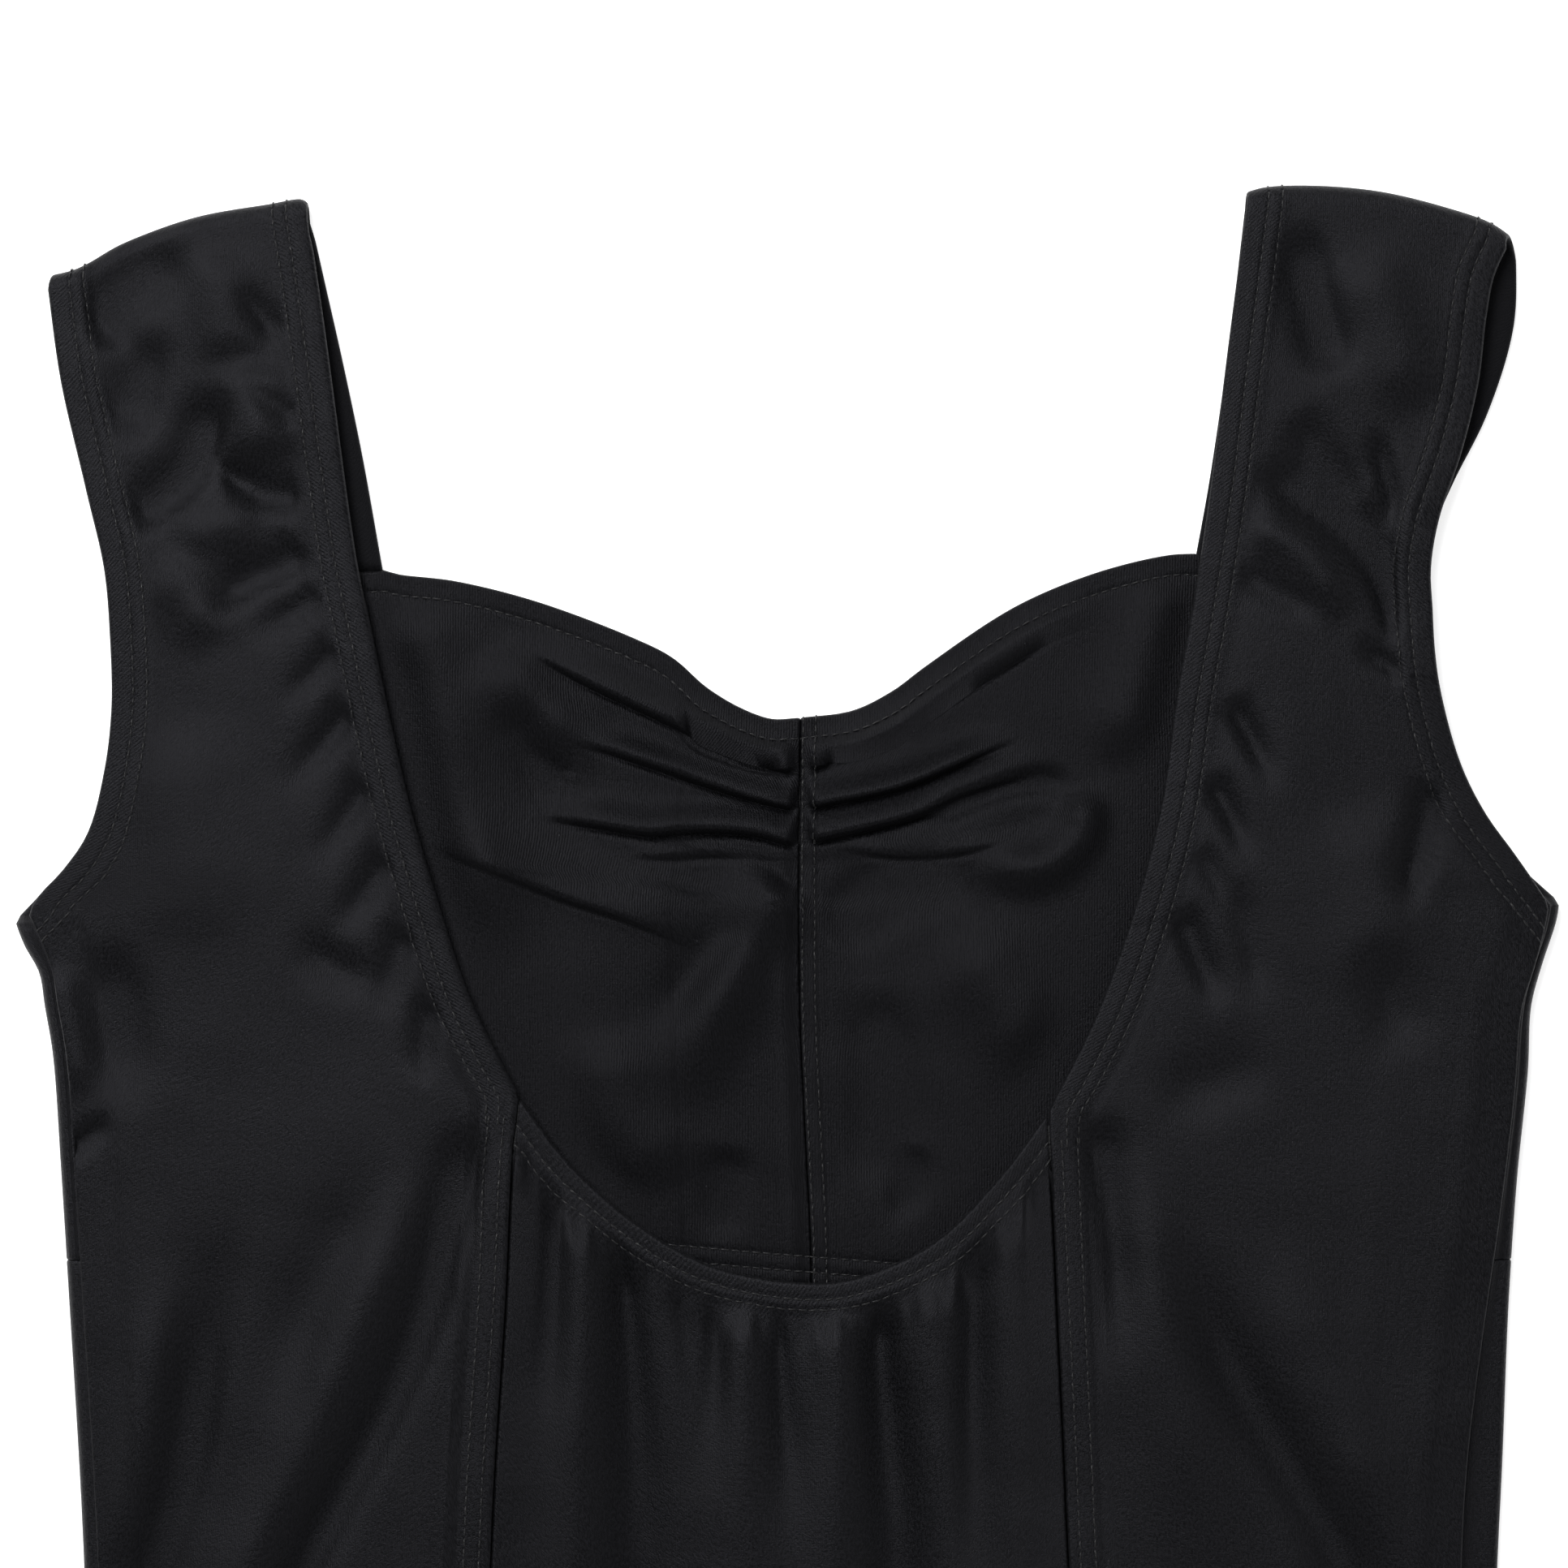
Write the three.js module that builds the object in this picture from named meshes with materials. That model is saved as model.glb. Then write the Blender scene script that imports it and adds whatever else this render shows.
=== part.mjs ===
// Gymnastics leotard laid flat on a table with its back uppermost.
// Sewn shell panels, a lined bust, a lined gusset and the elastics inside every hem.
// Millimetres: +X runs across the garment, +Y from the crotch to the shoulders, +Z up from the table.

import * as THREE from 'three';

// ---- Driving dimensions -------------------------------------------------------------------

const whole = {
  length: 690,            // shoulder fold to crotch fold
  thickness: 10,          // height of the garment as it lies, front shell to back shell
};

const cloth = {
  shell: 0.9,             // outer nylon and elastane knit
  lining: 0.8,
  elastic: 0.6,
  layerGap: 0.3,          // air between one layer and the next
  seamGap: 0.3,           // between panels that are sewn edge to edge
  elasticWidth: 9.5,
  edgeInset: 0.5,         // turned hem edge to the elastic's edge
};

// Half widths of the flat trunk, each with its drop from the shoulder line
const trunk = {
  underarm: { half: 190.4, drop: 179 },
  chest: { half: 183, drop: 203 },
  underbust: { half: 177.8, drop: 265 },
  waist: { half: 172, drop: 395 },
  hip: { half: 178, drop: 480 },      // the leg openings start here
};

// How each side happens to lie: strap corners on the shoulder fold, and how far the front
// panels come round on to the back
const lay = {
  left: { outer: { half: 182, drop: 23 }, inner: { half: 118, drop: 4 }, wrap: 1 },
  right: { outer: { half: 178, drop: 13 }, inner: { half: 114, drop: 0 }, wrap: 4 },
};
const wrapAtUnderarm = 0.5;

const scoop = {           // back neck opening
  depth: 270,
  sideHandle: { across: 25, down: 163 },
  bottomHandle: 70,
  princessAt: 0.58,       // where the princess seam meets the edge, along the half curve
};

const armhole = {
  backKnots: [{ half: 169, drop: 70 }, { half: 163, drop: 110 }, { half: 167, drop: 145 }],
  frontKnots: [{ half: 158, drop: 118 }, { half: 163, drop: 144 }, { half: 173, drop: 164 }],
};

const neckline = {        // sweetheart front
  centreX: 4,
  centreDrop: 131,
  knots: [
    { half: 14, drop: 129.5 }, { half: 28, drop: 116 }, { half: 45, drop: 108 }, { half: 74, drop: 97 },
  ],
};

const strapSeam = {       // front strap to bust panel
  inner: { half: 101, drop: 92 },
  outer: { half: 157, drop: 95 },
};

const princess = {        // half widths of the centre panels
  underbust: 66,
  waist: 73,
  hip: 84,
  onBackLeg: 0.5,         // where the seam meets the leg edge, along its curve
  onFrontLeg: 0.55,
};

const gusset = {
  frontHalf: 38,
  foldHalf: 33,
  backHalf: 40,
  frontRise: 62,          // seam heights above the crotch fold
  backRise: 44,
  liningOverlap: 18,      // how far the lining runs past the front seam
};

// Leg edge handles: from the side seam, and back from the gusset corner
const legEdge = {
  back: { side: { across: 22, down: 70 }, gusset: { across: 52, up: 22 } },
  front: { side: { across: 62, down: 40 }, gusset: { across: 14, up: 62 } },
};

const gatherTape = { width: 5, topDrop: 145, length: 38 };
const underbustElastic = { width: 11, rise: 2 };

// ---- Finishes -----------------------------------------------------------------------------

const finishes = {
  shellKnit: new THREE.MeshStandardMaterial({ color: 0x1f1f22, roughness: 0.72, metalness: 0 }),
  liningKnit: new THREE.MeshStandardMaterial({ color: 0x161618, roughness: 0.8, metalness: 0 }),
  hemElastic: new THREE.MeshStandardMaterial({ color: 0x2b2b2e, roughness: 0.85, metalness: 0 }),
};

// ---- The garment surface ------------------------------------------------------------------
// A spot on the garment is a plan point, the direction a fold bulges in, and the angle round
// that fold: front layer at the start, back layer at the end.

const frontLayer = -Math.PI / 2;
const backLayer = Math.PI / 2;
const radius = whole.thickness / 2;
const topY = whole.length / 2;
const crotchY = -whole.length / 2;
const signOf = { left: -1, right: 1 };
const gap = cloth.seamGap / 2;

// Grid cells. bust and body are the rows beside the side seams, and they match on every panel
// that meets there: underarm to underbust, then underbust to the leg openings.
const cells = {
  fold: 8, bust: 6, body: 9,
  strapFront: 5, strapBack: 12, acrossSide: 4, acrossFront: 7,
  scoop: 7, leg: 5, gussetSeam: 4, gussetRun: 4, acrossGusset: 2,
  neckline: 8, strapSeam: 2, armhole: 6,
};

const { lerp, clamp } = THREE.MathUtils;
const atDrop = (drop) => topY - drop;
const plan = (side, { half, drop }) => new THREE.Vector2(signOf[side] * half, atDrop(drop));
const mix = (a, b, t) => new THREE.Vector2().lerpVectors(a, b, t);
const spot = (point, angle, out = new THREE.Vector2()) => ({ point, angle, out });

const depths = {
  shell: 0,
  elastic: cloth.shell + cloth.layerGap,
  lining: cloth.shell + cloth.elastic + 2 * cloth.layerGap,
  underbust: cloth.shell + cloth.elastic + cloth.lining + 3 * cloth.layerGap,
};

function surfacePoint({ point, angle, out }, depth) {
  const reach = radius - depth;
  return new THREE.Vector3(
    point.x + out.x * reach * Math.cos(angle),
    point.y + out.y * reach * Math.cos(angle),
    radius + reach * Math.sin(angle),
  );
}

// Bends a gridded slab on to the garment: u runs with its columns, v with its rows
function layer(name, finish, depth, thickness, columns, rows, spotAt) {
  const geometry = new THREE.BoxGeometry(1, 1, 1, columns, rows, 1);
  const corners = geometry.attributes.position;
  for (let i = 0; i < corners.count; i += 1) {
    const outward = corners.getZ(i) > 0;
    const place = spotAt(corners.getX(i) + 0.5, corners.getY(i) + 0.5);
    const bent = surfacePoint(place, outward ? depth : depth + thickness);
    corners.setXYZ(i, bent.x, bent.y, bent.z);
  }
  if (signedVolume(geometry) < 0) turnInsideOut(geometry);
  geometry.computeVertexNormals();
  const mesh = new THREE.Mesh(geometry, finish);
  mesh.name = name;
  return mesh;
}

function signedVolume({ index, attributes: { position } }) {
  const [a, b, c] = [new THREE.Vector3(), new THREE.Vector3(), new THREE.Vector3()];
  let volume = 0;
  for (let i = 0; i < index.count; i += 3) {
    [a, b, c].forEach((v, k) => v.fromBufferAttribute(position, index.getX(i + k)));
    volume += a.dot(b.cross(c)) / 6;
  }
  return volume;
}

function turnInsideOut({ index }) {
  for (let i = 0; i < index.count; i += 3) {
    const kept = index.getX(i);
    index.setX(i, index.getX(i + 1));
    index.setX(i + 1, kept);
  }
}

// Joins stretches of a panel end to end, each with its own cells and its own rule
function stretches(parts) {
  const total = parts.reduce((sum, part) => sum + part.cells, 0);
  const at = (t, other) => {
    let row = t * total;
    for (const part of parts) {
      if (row <= part.cells + 1e-6) return part.at(row / part.cells, other);
      row -= part.cells;
    }
    return parts.at(-1).at(1, other);
  };
  return { cells: total, at };
}

// A patch filled in between four edges: start and end run with u, first and last with v
function filled(start, end, first, last) {
  const corners = [start(0), start(1), end(0), end(1)];
  return (u, v) => {
    const ruled = mix(start(u), end(u), v).add(mix(first(v), last(v), u));
    const flat = mix(mix(corners[0], corners[1], u), mix(corners[2], corners[3], u), v);
    return ruled.sub(flat);
  };
}

const along = (curve, from = 0, to = 1) => (t) => curve.getPoint(from + (to - from) * t);
const straight = (a, b) => (t) => mix(a, b, t);
const reversed = (edge) => (t) => edge(1 - t);
const shifted = (edge, x, y) => (t) => edge(t).add(new THREE.Vector2(x, y));

// ---- Edges --------------------------------------------------------------------------------

const underarmY = atDrop(trunk.underarm.drop);
const underbustY = atDrop(trunk.underbust.drop);
const hipY = atDrop(trunk.hip.drop);

// Side outline as a smooth curve, then as the straight runs between the panels' rows, so that
// every layer bends along the same lines
const sideCurve = new THREE.SplineCurve([trunk.underarm, trunk.chest, trunk.underbust, trunk.waist, trunk.hip]
  .map(({ half, drop }) => new THREE.Vector2(half, atDrop(drop))));

const levels = (count, from, to) => Array.from({ length: count }, (_, i) => lerp(from, to, i / count));
const rowLevels = [
  ...levels(cells.bust, underarmY, underbustY), ...levels(cells.body, underbustY, hipY), hipY,
];
const outlineRows = rowLevels.map(curvePointAt);

function curvePointAt(y) {
  let [low, high] = [0, 1];
  for (let step = 0; step < 40; step += 1) {
    const middle = (low + high) / 2;
    if (sideCurve.getPoint(middle).y > y) low = middle;
    else high = middle;
  }
  return new THREE.Vector2(sideCurve.getPoint(low).x, y);
}

function sideHalfAt(y) {
  const below = clamp(outlineRows.findIndex((row) => row.y <= y), 1, outlineRows.length - 1);
  const [upper, lower] = [outlineRows[below - 1], outlineRows[below]];
  return lerp(upper.x, lower.x, clamp((upper.y - y) / (upper.y - lower.y), 0, 1));
}

// Centre line of the side fold
const foldX = (side, y) => signOf[side] * (sideHalfAt(y) - radius);

// How far the side seam lies past the fold, on the back
function wrapAt(side, y) {
  const fall = (atDrop(trunk.underarm.drop) - y) / (trunk.underbust.drop - trunk.underarm.drop);
  return lerp(wrapAtUnderarm, lay[side].wrap, clamp(fall, 0, 1));
}

const sideSeamX = (side, y) => foldX(side, y) - signOf[side] * wrapAt(side, y);

// Side seam from the underarm to the hip, in the same rows as the panels that meet there
function sideSeam(side, inset) {
  const rows = stretches([
    { cells: cells.bust, at: (t) => lerp(underarmY, underbustY, t) },
    { cells: cells.body, at: (t) => lerp(underbustY, hipY, t) },
  ]);
  return (t) => new THREE.Vector2(sideSeamX(side, rows.at(t)) - signOf[side] * inset, rows.at(t));
}

// Shoulder fold: a straight line between two corners, set back by the fold's own radius
function shoulderFold(side) {
  const outer = plan(side, lay[side].outer);
  const inner = plan(side, lay[side].inner);
  const acrossStrap = inner.clone().sub(outer).normalize();
  const out = new THREE.Vector2(-acrossStrap.y, acrossStrap.x).multiplyScalar(-signOf[side]);
  const setBack = out.clone().multiplyScalar(-radius);
  return { outer: outer.add(setBack), inner: inner.add(setBack), out, acrossStrap };
}

function halfScoop(side) {
  const top = shoulderFold(side).inner;
  const bottom = new THREE.Vector2(0, atDrop(scoop.depth));
  const { sideHandle, bottomHandle } = scoop;
  return new THREE.CubicBezierCurve(
    top,
    new THREE.Vector2(top.x - signOf[side] * sideHandle.across, top.y - sideHandle.down),
    new THREE.Vector2(signOf[side] * bottomHandle, bottom.y),
    bottom,
  );
}

function backArmhole(side) {
  const tip = new THREE.Vector2(sideSeamX(side, underarmY), underarmY);
  return new THREE.SplineCurve([
    shoulderFold(side).outer, ...armhole.backKnots.map((knot) => plan(side, knot)), tip]);
}

function frontArmhole(side) {
  return new THREE.SplineCurve([
    plan(side, strapSeam.outer),
    ...armhole.frontKnots.map((knot) => plan(side, knot)),
    new THREE.Vector2(foldX(side, underarmY), underarmY)]);
}

function halfNeckline(side) {
  return new THREE.SplineCurve([
    new THREE.Vector2(neckline.centreX, atDrop(neckline.centreDrop)),
    ...neckline.knots.map((knot) => plan(side, knot)),
    plan(side, strapSeam.inner)]);
}

function legCurve(side, face) {
  const handles = legEdge[face];
  const half = face === 'back' ? gusset.backHalf : gusset.frontHalf;
  const rise = face === 'back' ? gusset.backRise : gusset.frontRise;
  const top = new THREE.Vector2(face === 'back' ? sideSeamX(side, hipY) : foldX(side, hipY), hipY);
  const corner = new THREE.Vector2(signOf[side] * half, crotchY + rise);
  return new THREE.CubicBezierCurve(
    top,
    new THREE.Vector2(top.x - signOf[side] * handles.side.across, top.y - handles.side.down),
    new THREE.Vector2(corner.x + signOf[side] * handles.gusset.across, corner.y + handles.gusset.up),
    corner,
  );
}

function princessSeam(side, face) {
  const onBack = face === 'back';
  const top = onBack
    ? halfScoop(side).getPoint(scoop.princessAt)
    : new THREE.Vector2(signOf[side] * princess.underbust, underbustY);
  const foot = legCurve(side, face).getPoint(onBack ? princess.onBackLeg : princess.onFrontLeg);
  return new THREE.SplineCurve([
    top,
    plan(side, { half: princess.waist, drop: trunk.waist.drop }),
    plan(side, { half: princess.hip, drop: trunk.hip.drop }),
    foot]);
}

// ---- Panels -------------------------------------------------------------------------------

function shellPanel(name, columns, rows, spotAt) {
  return layer(name, finishes.shellKnit, depths.shell, cloth.shell, columns, rows, spotAt);
}

// Centre panel of the back or front: an edge on top, princess seams beside it, and two leg
// edges with the gusset seam between them below
function centrePanel(face, topEdge, rowCount) {
  const angle = face === 'back' ? backLayer : frontLayer;
  const onLeg = face === 'back' ? princess.onBackLeg : princess.onFrontLeg;
  const bottom = stretches([
    { cells: cells.leg, at: along(legCurve('left', face), onLeg, 1) },
    { cells: cells.gussetSeam, at: straight(legCurve('left', face).v3, legCurve('right', face).v3) },
    { cells: cells.leg, at: reversed(along(legCurve('right', face), onLeg, 1)) },
  ]);
  const inside = (edge, side) => shifted(edge, -signOf[side] * gap, 0);
  const patch = filled(
    shifted((t) => bottom.at(t), 0, gap),
    topEdge,
    inside(reversed(along(princessSeam('left', face))), 'left'),
    inside(reversed(along(princessSeam('right', face))), 'right'),
  );
  return shellPanel(`${face}_center_panel`, bottom.cells, rowCount, (u, v) => spot(patch(u, v), angle));
}

function backCenterPanel() {
  const top = stretches([
    { cells: cells.scoop, at: along(halfScoop('left'), scoop.princessAt, 1) },
    { cells: cells.scoop, at: reversed(along(halfScoop('right'), scoop.princessAt, 1)) },
  ]);
  return centrePanel('back', (t) => top.at(t), cells.bust + cells.body);
}

function frontCenterPanel() {
  const left = new THREE.Vector2(-princess.underbust, underbustY - gap);
  const right = new THREE.Vector2(princess.underbust, underbustY - gap);
  return centrePanel('front', straight(left, right), cells.body);
}

// Back side panel with its strap: front strap, shoulder fold, back strap, then the body
function backSidePanel(side) {
  const fold = shoulderFold(side);
  const outerEdge = backArmhole(side);
  const innerEdge = halfScoop(side);
  const tip = outerEdge.getPoint(1);
  const junction = innerEdge.getPoint(scoop.princessAt);
  const seamOuter = plan(side, strapSeam.outer).add(new THREE.Vector2(0, gap));
  const seamInner = plan(side, strapSeam.inner).add(new THREE.Vector2(0, gap));
  const intoPanel = signOf[side] * gap;
  const frontStrap = (u, v) => mix(mix(seamOuter, fold.outer, v), mix(seamInner, fold.inner, v), u);
  const shoulder = (u, v) => spot(mix(fold.outer, fold.inner, u), lerp(frontLayer, backLayer, v), fold.out);
  const backStrap = (u, v) => {
    const inner = innerEdge.getPoint(scoop.princessAt * v);
    return mix(outerEdge.getPoint(v), inner, u).add(new THREE.Vector2(intoPanel * (2 * u - 1) * v, 0));
  };
  const body = filled(
    straight(tip.clone().setX(tip.x - intoPanel), junction.clone().setX(junction.x + intoPanel)),
    along(legCurve(side, 'back'), 0, princess.onBackLeg),
    sideSeam(side, gap),
    shifted(along(princessSeam(side, 'back')), intoPanel, 0),
  );
  const rows = stretches([
    { cells: cells.strapFront, at: (v, u) => spot(frontStrap(u, v), frontLayer) },
    { cells: cells.fold, at: (v, u) => shoulder(u, v) },
    { cells: cells.strapBack, at: (v, u) => spot(backStrap(u, v), backLayer) },
    { cells: cells.bust + cells.body, at: (v, u) => spot(body(u, v), backLayer) },
  ]);
  return shellPanel(`back_side_panel_${side}`, cells.acrossSide, rows.cells, (u, v) => rows.at(v, u));
}

// Bust panel or its lining: centre seam to side seam, round the side fold
function bustLayer(name, side, finish, depth, thickness) {
  const intoPanel = signOf[side] * gap;
  const neckEdge = halfNeckline(side);
  const centreTop = new THREE.Vector2(neckline.centreX + intoPanel, atDrop(neckline.centreDrop));
  const centreFoot = new THREE.Vector2(centreTop.x, underbustY + gap);
  const topEdge = stretches([
    { cells: cells.neckline, at: (t) => neckEdge.getPoint(t).add(new THREE.Vector2(intoPanel * (1 - t), 0)) },
    { cells: cells.strapSeam, at: straight(plan(side, strapSeam.inner), plan(side, strapSeam.outer)) },
    { cells: cells.armhole, at: along(frontArmhole(side)) },
  ]);
  const foldFoot = new THREE.Vector2(foldX(side, underbustY + gap), underbustY + gap);
  const foldLine = (t) => {
    const y = lerp(underbustY + gap, underarmY, t);
    return new THREE.Vector2(foldX(side, y), y);
  };
  const flatPatch = filled(
    straight(centreFoot, foldFoot),
    shifted((t) => topEdge.at(t), 0, -gap),
    straight(centreFoot, centreTop.clone().setY(centreTop.y - gap)),
    (t) => foldLine(t).setY(foldLine(t).y - gap * t),
  );
  const columns = stretches([
    { cells: topEdge.cells, at: (u, v) => spot(flatPatch(u, v), frontLayer) },
    ...aroundSide(side, underbustY + gap, underarmY - gap),
  ]);
  return layer(name, finish, depth, thickness, columns.cells, cells.bust, (u, v) => columns.at(u, v));
}

// The fold and the strip past it that every front panel turns round to reach the side seam
function aroundSide(side, footY, headY) {
  const height = (v) => lerp(footY, headY, v);
  const out = new THREE.Vector2(signOf[side], 0);
  return [
    {
      cells: cells.fold,
      at: (u, v) => {
        const y = height(v);
        return spot(new THREE.Vector2(foldX(side, y), y), lerp(frontLayer, backLayer, u), out);
      },
    },
    {
      cells: 1,
      at: (u, v) => {
        const y = height(v);
        const reach = (wrapAt(side, y) - gap) * u;
        return spot(new THREE.Vector2(foldX(side, y) - signOf[side] * reach, y), backLayer);
      },
    },
  ];
}

function frontSidePanel(side) {
  const legCurveHere = legCurve(side, 'front');
  const head = underbustY - gap;
  const intoPanel = signOf[side] * gap;
  const princessHead = new THREE.Vector2(signOf[side] * princess.underbust + intoPanel, head);
  const flatPatch = filled(
    reversed(along(legCurveHere, 0, princess.onFrontLeg)),
    straight(princessHead, new THREE.Vector2(foldX(side, head), head)),
    shifted(reversed(along(princessSeam(side, 'front'))), intoPanel, 0),
    (t) => {
      const y = lerp(hipY, head, t);
      return new THREE.Vector2(foldX(side, y), y);
    },
  );
  const columns = stretches([
    { cells: cells.acrossFront, at: (u, v) => spot(flatPatch(u, v), frontLayer) },
    ...aroundSide(side, hipY, head),
  ]);
  return shellPanel(`front_side_panel_${side}`, columns.cells, cells.body, (u, v) => columns.at(u, v));
}

// Gusset: front seam, crotch fold, back seam. The lining starts further up the front.
function gussetRows(frontOverlap) {
  const foldY = crotchY + radius;
  const frontY = crotchY + gusset.frontRise - gap;
  const backY = crotchY + gusset.backRise - gap;
  const across = (half, u, y) => new THREE.Vector2(half * (2 * u - 1), y);
  const run = (seamHalf, seamY, angle) => (v, u) => (
    spot(across(lerp(gusset.foldHalf, seamHalf, v ** 2), u, lerp(foldY, seamY, v)), angle));
  const frontRun = run(gusset.frontHalf, frontY, frontLayer);
  const overlap = {
    cells: 2,
    at: (v, u) => spot(across(gusset.frontHalf, u, frontY + frontOverlap * (1 - v)), frontLayer),
  };
  const fold = (v, u) => (
    spot(across(gusset.foldHalf, u, foldY), lerp(frontLayer, backLayer, v), new THREE.Vector2(0, -1)));
  return stretches([
    ...(frontOverlap > 0 ? [overlap] : []),
    { cells: cells.gussetRun, at: (v, u) => frontRun(1 - v, u) },
    { cells: cells.fold, at: fold },
    { cells: cells.gussetRun, at: run(gusset.backHalf, backY, backLayer) },
  ]);
}

function gussetPanel() {
  const rows = gussetRows(0);
  return shellPanel('gusset_panel', cells.acrossGusset, rows.cells, (u, v) => rows.at(v, u));
}

function gussetLining() {
  const rows = gussetRows(gusset.liningOverlap);
  return layer('gusset_lining', finishes.liningKnit, depths.lining, cloth.lining, cells.acrossGusset,
    rows.cells, (u, v) => rows.at(v, u));
}

// ---- Elastics -----------------------------------------------------------------------------
// A band is a list of stations. Each gives its points from the hem's edge inwards, and the
// layer or fold angle that they are on.

const clear = 0.02;       // share of an edge left free beside a fold
const butt = 0.07;        // share left free where a band's two ends meet
const bandSteps = { strap: 4, scoop: 20, neckline: 12, armholeBack: 12, armholeFront: 8, leg: 14, short: 4 };

function flatBand(edgeAt, steps, hand, angle, width = cloth.elasticWidth) {
  const step = 1e-3;
  return Array.from({ length: steps + 1 }, (_, i) => {
    const t = i / steps;
    const heading = edgeAt(Math.min(t + step, 1)).sub(edgeAt(Math.max(t - step, 0))).normalize();
    const inward = new THREE.Vector2(-heading.y, heading.x).multiplyScalar(hand);
    const start = edgeAt(t).addScaledVector(inward, cloth.edgeInset);
    const end = start.clone().addScaledVector(inward, width);
    return { at: straight(start, end), angle };
  });
}

function foldBand(edge, inward, out, fromAngle, toAngle) {
  const start = edge.clone().addScaledVector(inward, cloth.edgeInset);
  const end = start.clone().addScaledVector(inward, cloth.elasticWidth);
  return turned(straight(start, end), out, fromAngle, toAngle);
}

function sideFoldBand(side, edgeY, hand) {
  const depthAt = (u) => edgeY + hand * (cloth.edgeInset + cloth.elasticWidth * u);
  const at = (u) => new THREE.Vector2(foldX(side, depthAt(u)), depthAt(u));
  return turned(at, new THREE.Vector2(signOf[side], 0), frontLayer, backLayer);
}

function turned(at, out, fromAngle, toAngle) {
  return Array.from({ length: cells.fold + 1 }, (_, i) => (
    { at, out, angle: lerp(fromAngle, toAngle, i / cells.fold) }));
}

function band(name, stations, depth = depths.elastic) {
  const steps = stations.length - 1;
  return layer(name, finishes.hemElastic, depth, cloth.elastic, 1, steps, (u, v) => {
    const { at, angle, out } = stations[Math.round(v * steps)];
    return spot(at(u), angle, out);
  });
}

// Back neck elastic: up one front strap, over the shoulder, round the scoop and back again
function neckHalf(side) {
  const fold = shoulderFold(side);
  const strapEdge = straight(plan(side, strapSeam.inner), fold.inner);
  const hand = -signOf[side];
  return [
    ...flatBand((t) => strapEdge(lerp(clear, 1 - clear, t)), bandSteps.strap, hand, frontLayer),
    ...foldBand(fold.inner, fold.acrossStrap.clone().negate(), fold.out, frontLayer, backLayer),
    ...flatBand(along(halfScoop(side), clear, 1), bandSteps.scoop, -hand, backLayer),
  ];
}

function neckElastic() {
  return band('neck_elastic', [...neckHalf('left'), ...neckHalf('right').reverse().slice(1)]);
}

function necklineElastic(side) {
  const edge = along(halfNeckline(side), clear, 1 - butt);
  return band(`neckline_elastic_${side}`, flatBand(edge, bandSteps.neckline, -signOf[side], frontLayer));
}

// Armhole elastic: a closed round trip that starts and ends beside the side seam
function armholeElastic(side) {
  const fold = shoulderFold(side);
  const hand = -signOf[side];
  const frontStrap = straight(fold.outer, plan(side, strapSeam.outer));
  return band(`armhole_elastic_${side}`, [
    ...flatBand(reversed(along(backArmhole(side), clear, 1 - butt)), bandSteps.armholeBack, -hand, backLayer),
    ...foldBand(fold.outer, fold.acrossStrap, fold.out, backLayer, frontLayer),
    ...flatBand((t) => frontStrap(lerp(clear, 1 - clear, t)), bandSteps.strap, hand, frontLayer),
    ...flatBand(along(frontArmhole(side), butt, 1 - butt), bandSteps.armholeFront, hand, frontLayer),
    ...sideFoldBand(side, underarmY, -1),
  ]);
}

// Leg elastic: down the back leg edge, through the crotch fold, up the front and round the side
function legElastic(side) {
  const hand = -signOf[side];
  const foldEdge = new THREE.Vector2(signOf[side] * gusset.foldHalf, crotchY + radius);
  const [inward, out] = [new THREE.Vector2(-signOf[side], 0), new THREE.Vector2(0, -1)];
  return band(`leg_elastic_${side}`, [
    ...flatBand(along(legCurve(side, 'back'), butt, 1 - clear), bandSteps.leg, hand, backLayer),
    ...foldBand(foldEdge, inward, out, backLayer, frontLayer),
    ...flatBand(reversed(along(legCurve(side, 'front'), butt, 1 - clear)), bandSteps.leg, -hand, frontLayer),
    ...sideFoldBand(side, hipY, 1),
  ]);
}

function underbustBand() {
  const y = underbustY + underbustElastic.rise;
  const ends = ['left', 'right'].map((side) => new THREE.Vector2(foldX(side, y), y));
  const stations = flatBand(straight(...ends), bandSteps.short, 1, frontLayer, underbustElastic.width);
  return band('underbust_elastic', stations, depths.underbust);
}

function centreGatherTape() {
  const x = neckline.centreX + gatherTape.width / 2;
  const top = new THREE.Vector2(x, atDrop(gatherTape.topDrop));
  const foot = new THREE.Vector2(x, top.y - gatherTape.length);
  const stations = flatBand(straight(foot, top), bandSteps.short, 1, frontLayer, gatherTape.width);
  return band('center_gather_tape', stations);
}

// ---- Assembly -----------------------------------------------------------------------------

const leotard = new THREE.Group();
leotard.add(backCenterPanel(), frontCenterPanel());
for (const side of ['left', 'right']) {
  leotard.add(
    backSidePanel(side),
    bustLayer(`front_bust_panel_${side}`, side, finishes.shellKnit, depths.shell, cloth.shell),
    bustLayer(`bust_lining_${side}`, side, finishes.liningKnit, depths.lining, cloth.lining),
    frontSidePanel(side),
    necklineElastic(side),
    armholeElastic(side),
    legElastic(side),
  );
}
leotard.add(
  gussetPanel(),
  gussetLining(),
  neckElastic(),
  underbustBand(),
  centreGatherTape(),
);

export default leotard;
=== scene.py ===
# A black gymnastics leotard laid flat with its back uppermost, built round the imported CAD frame.
# Lengths are worked in millimetres and become metres when a mesh is made.
# Outlines are written as (x, drop): across the garment, and down from the shoulder line.
import math

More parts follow.
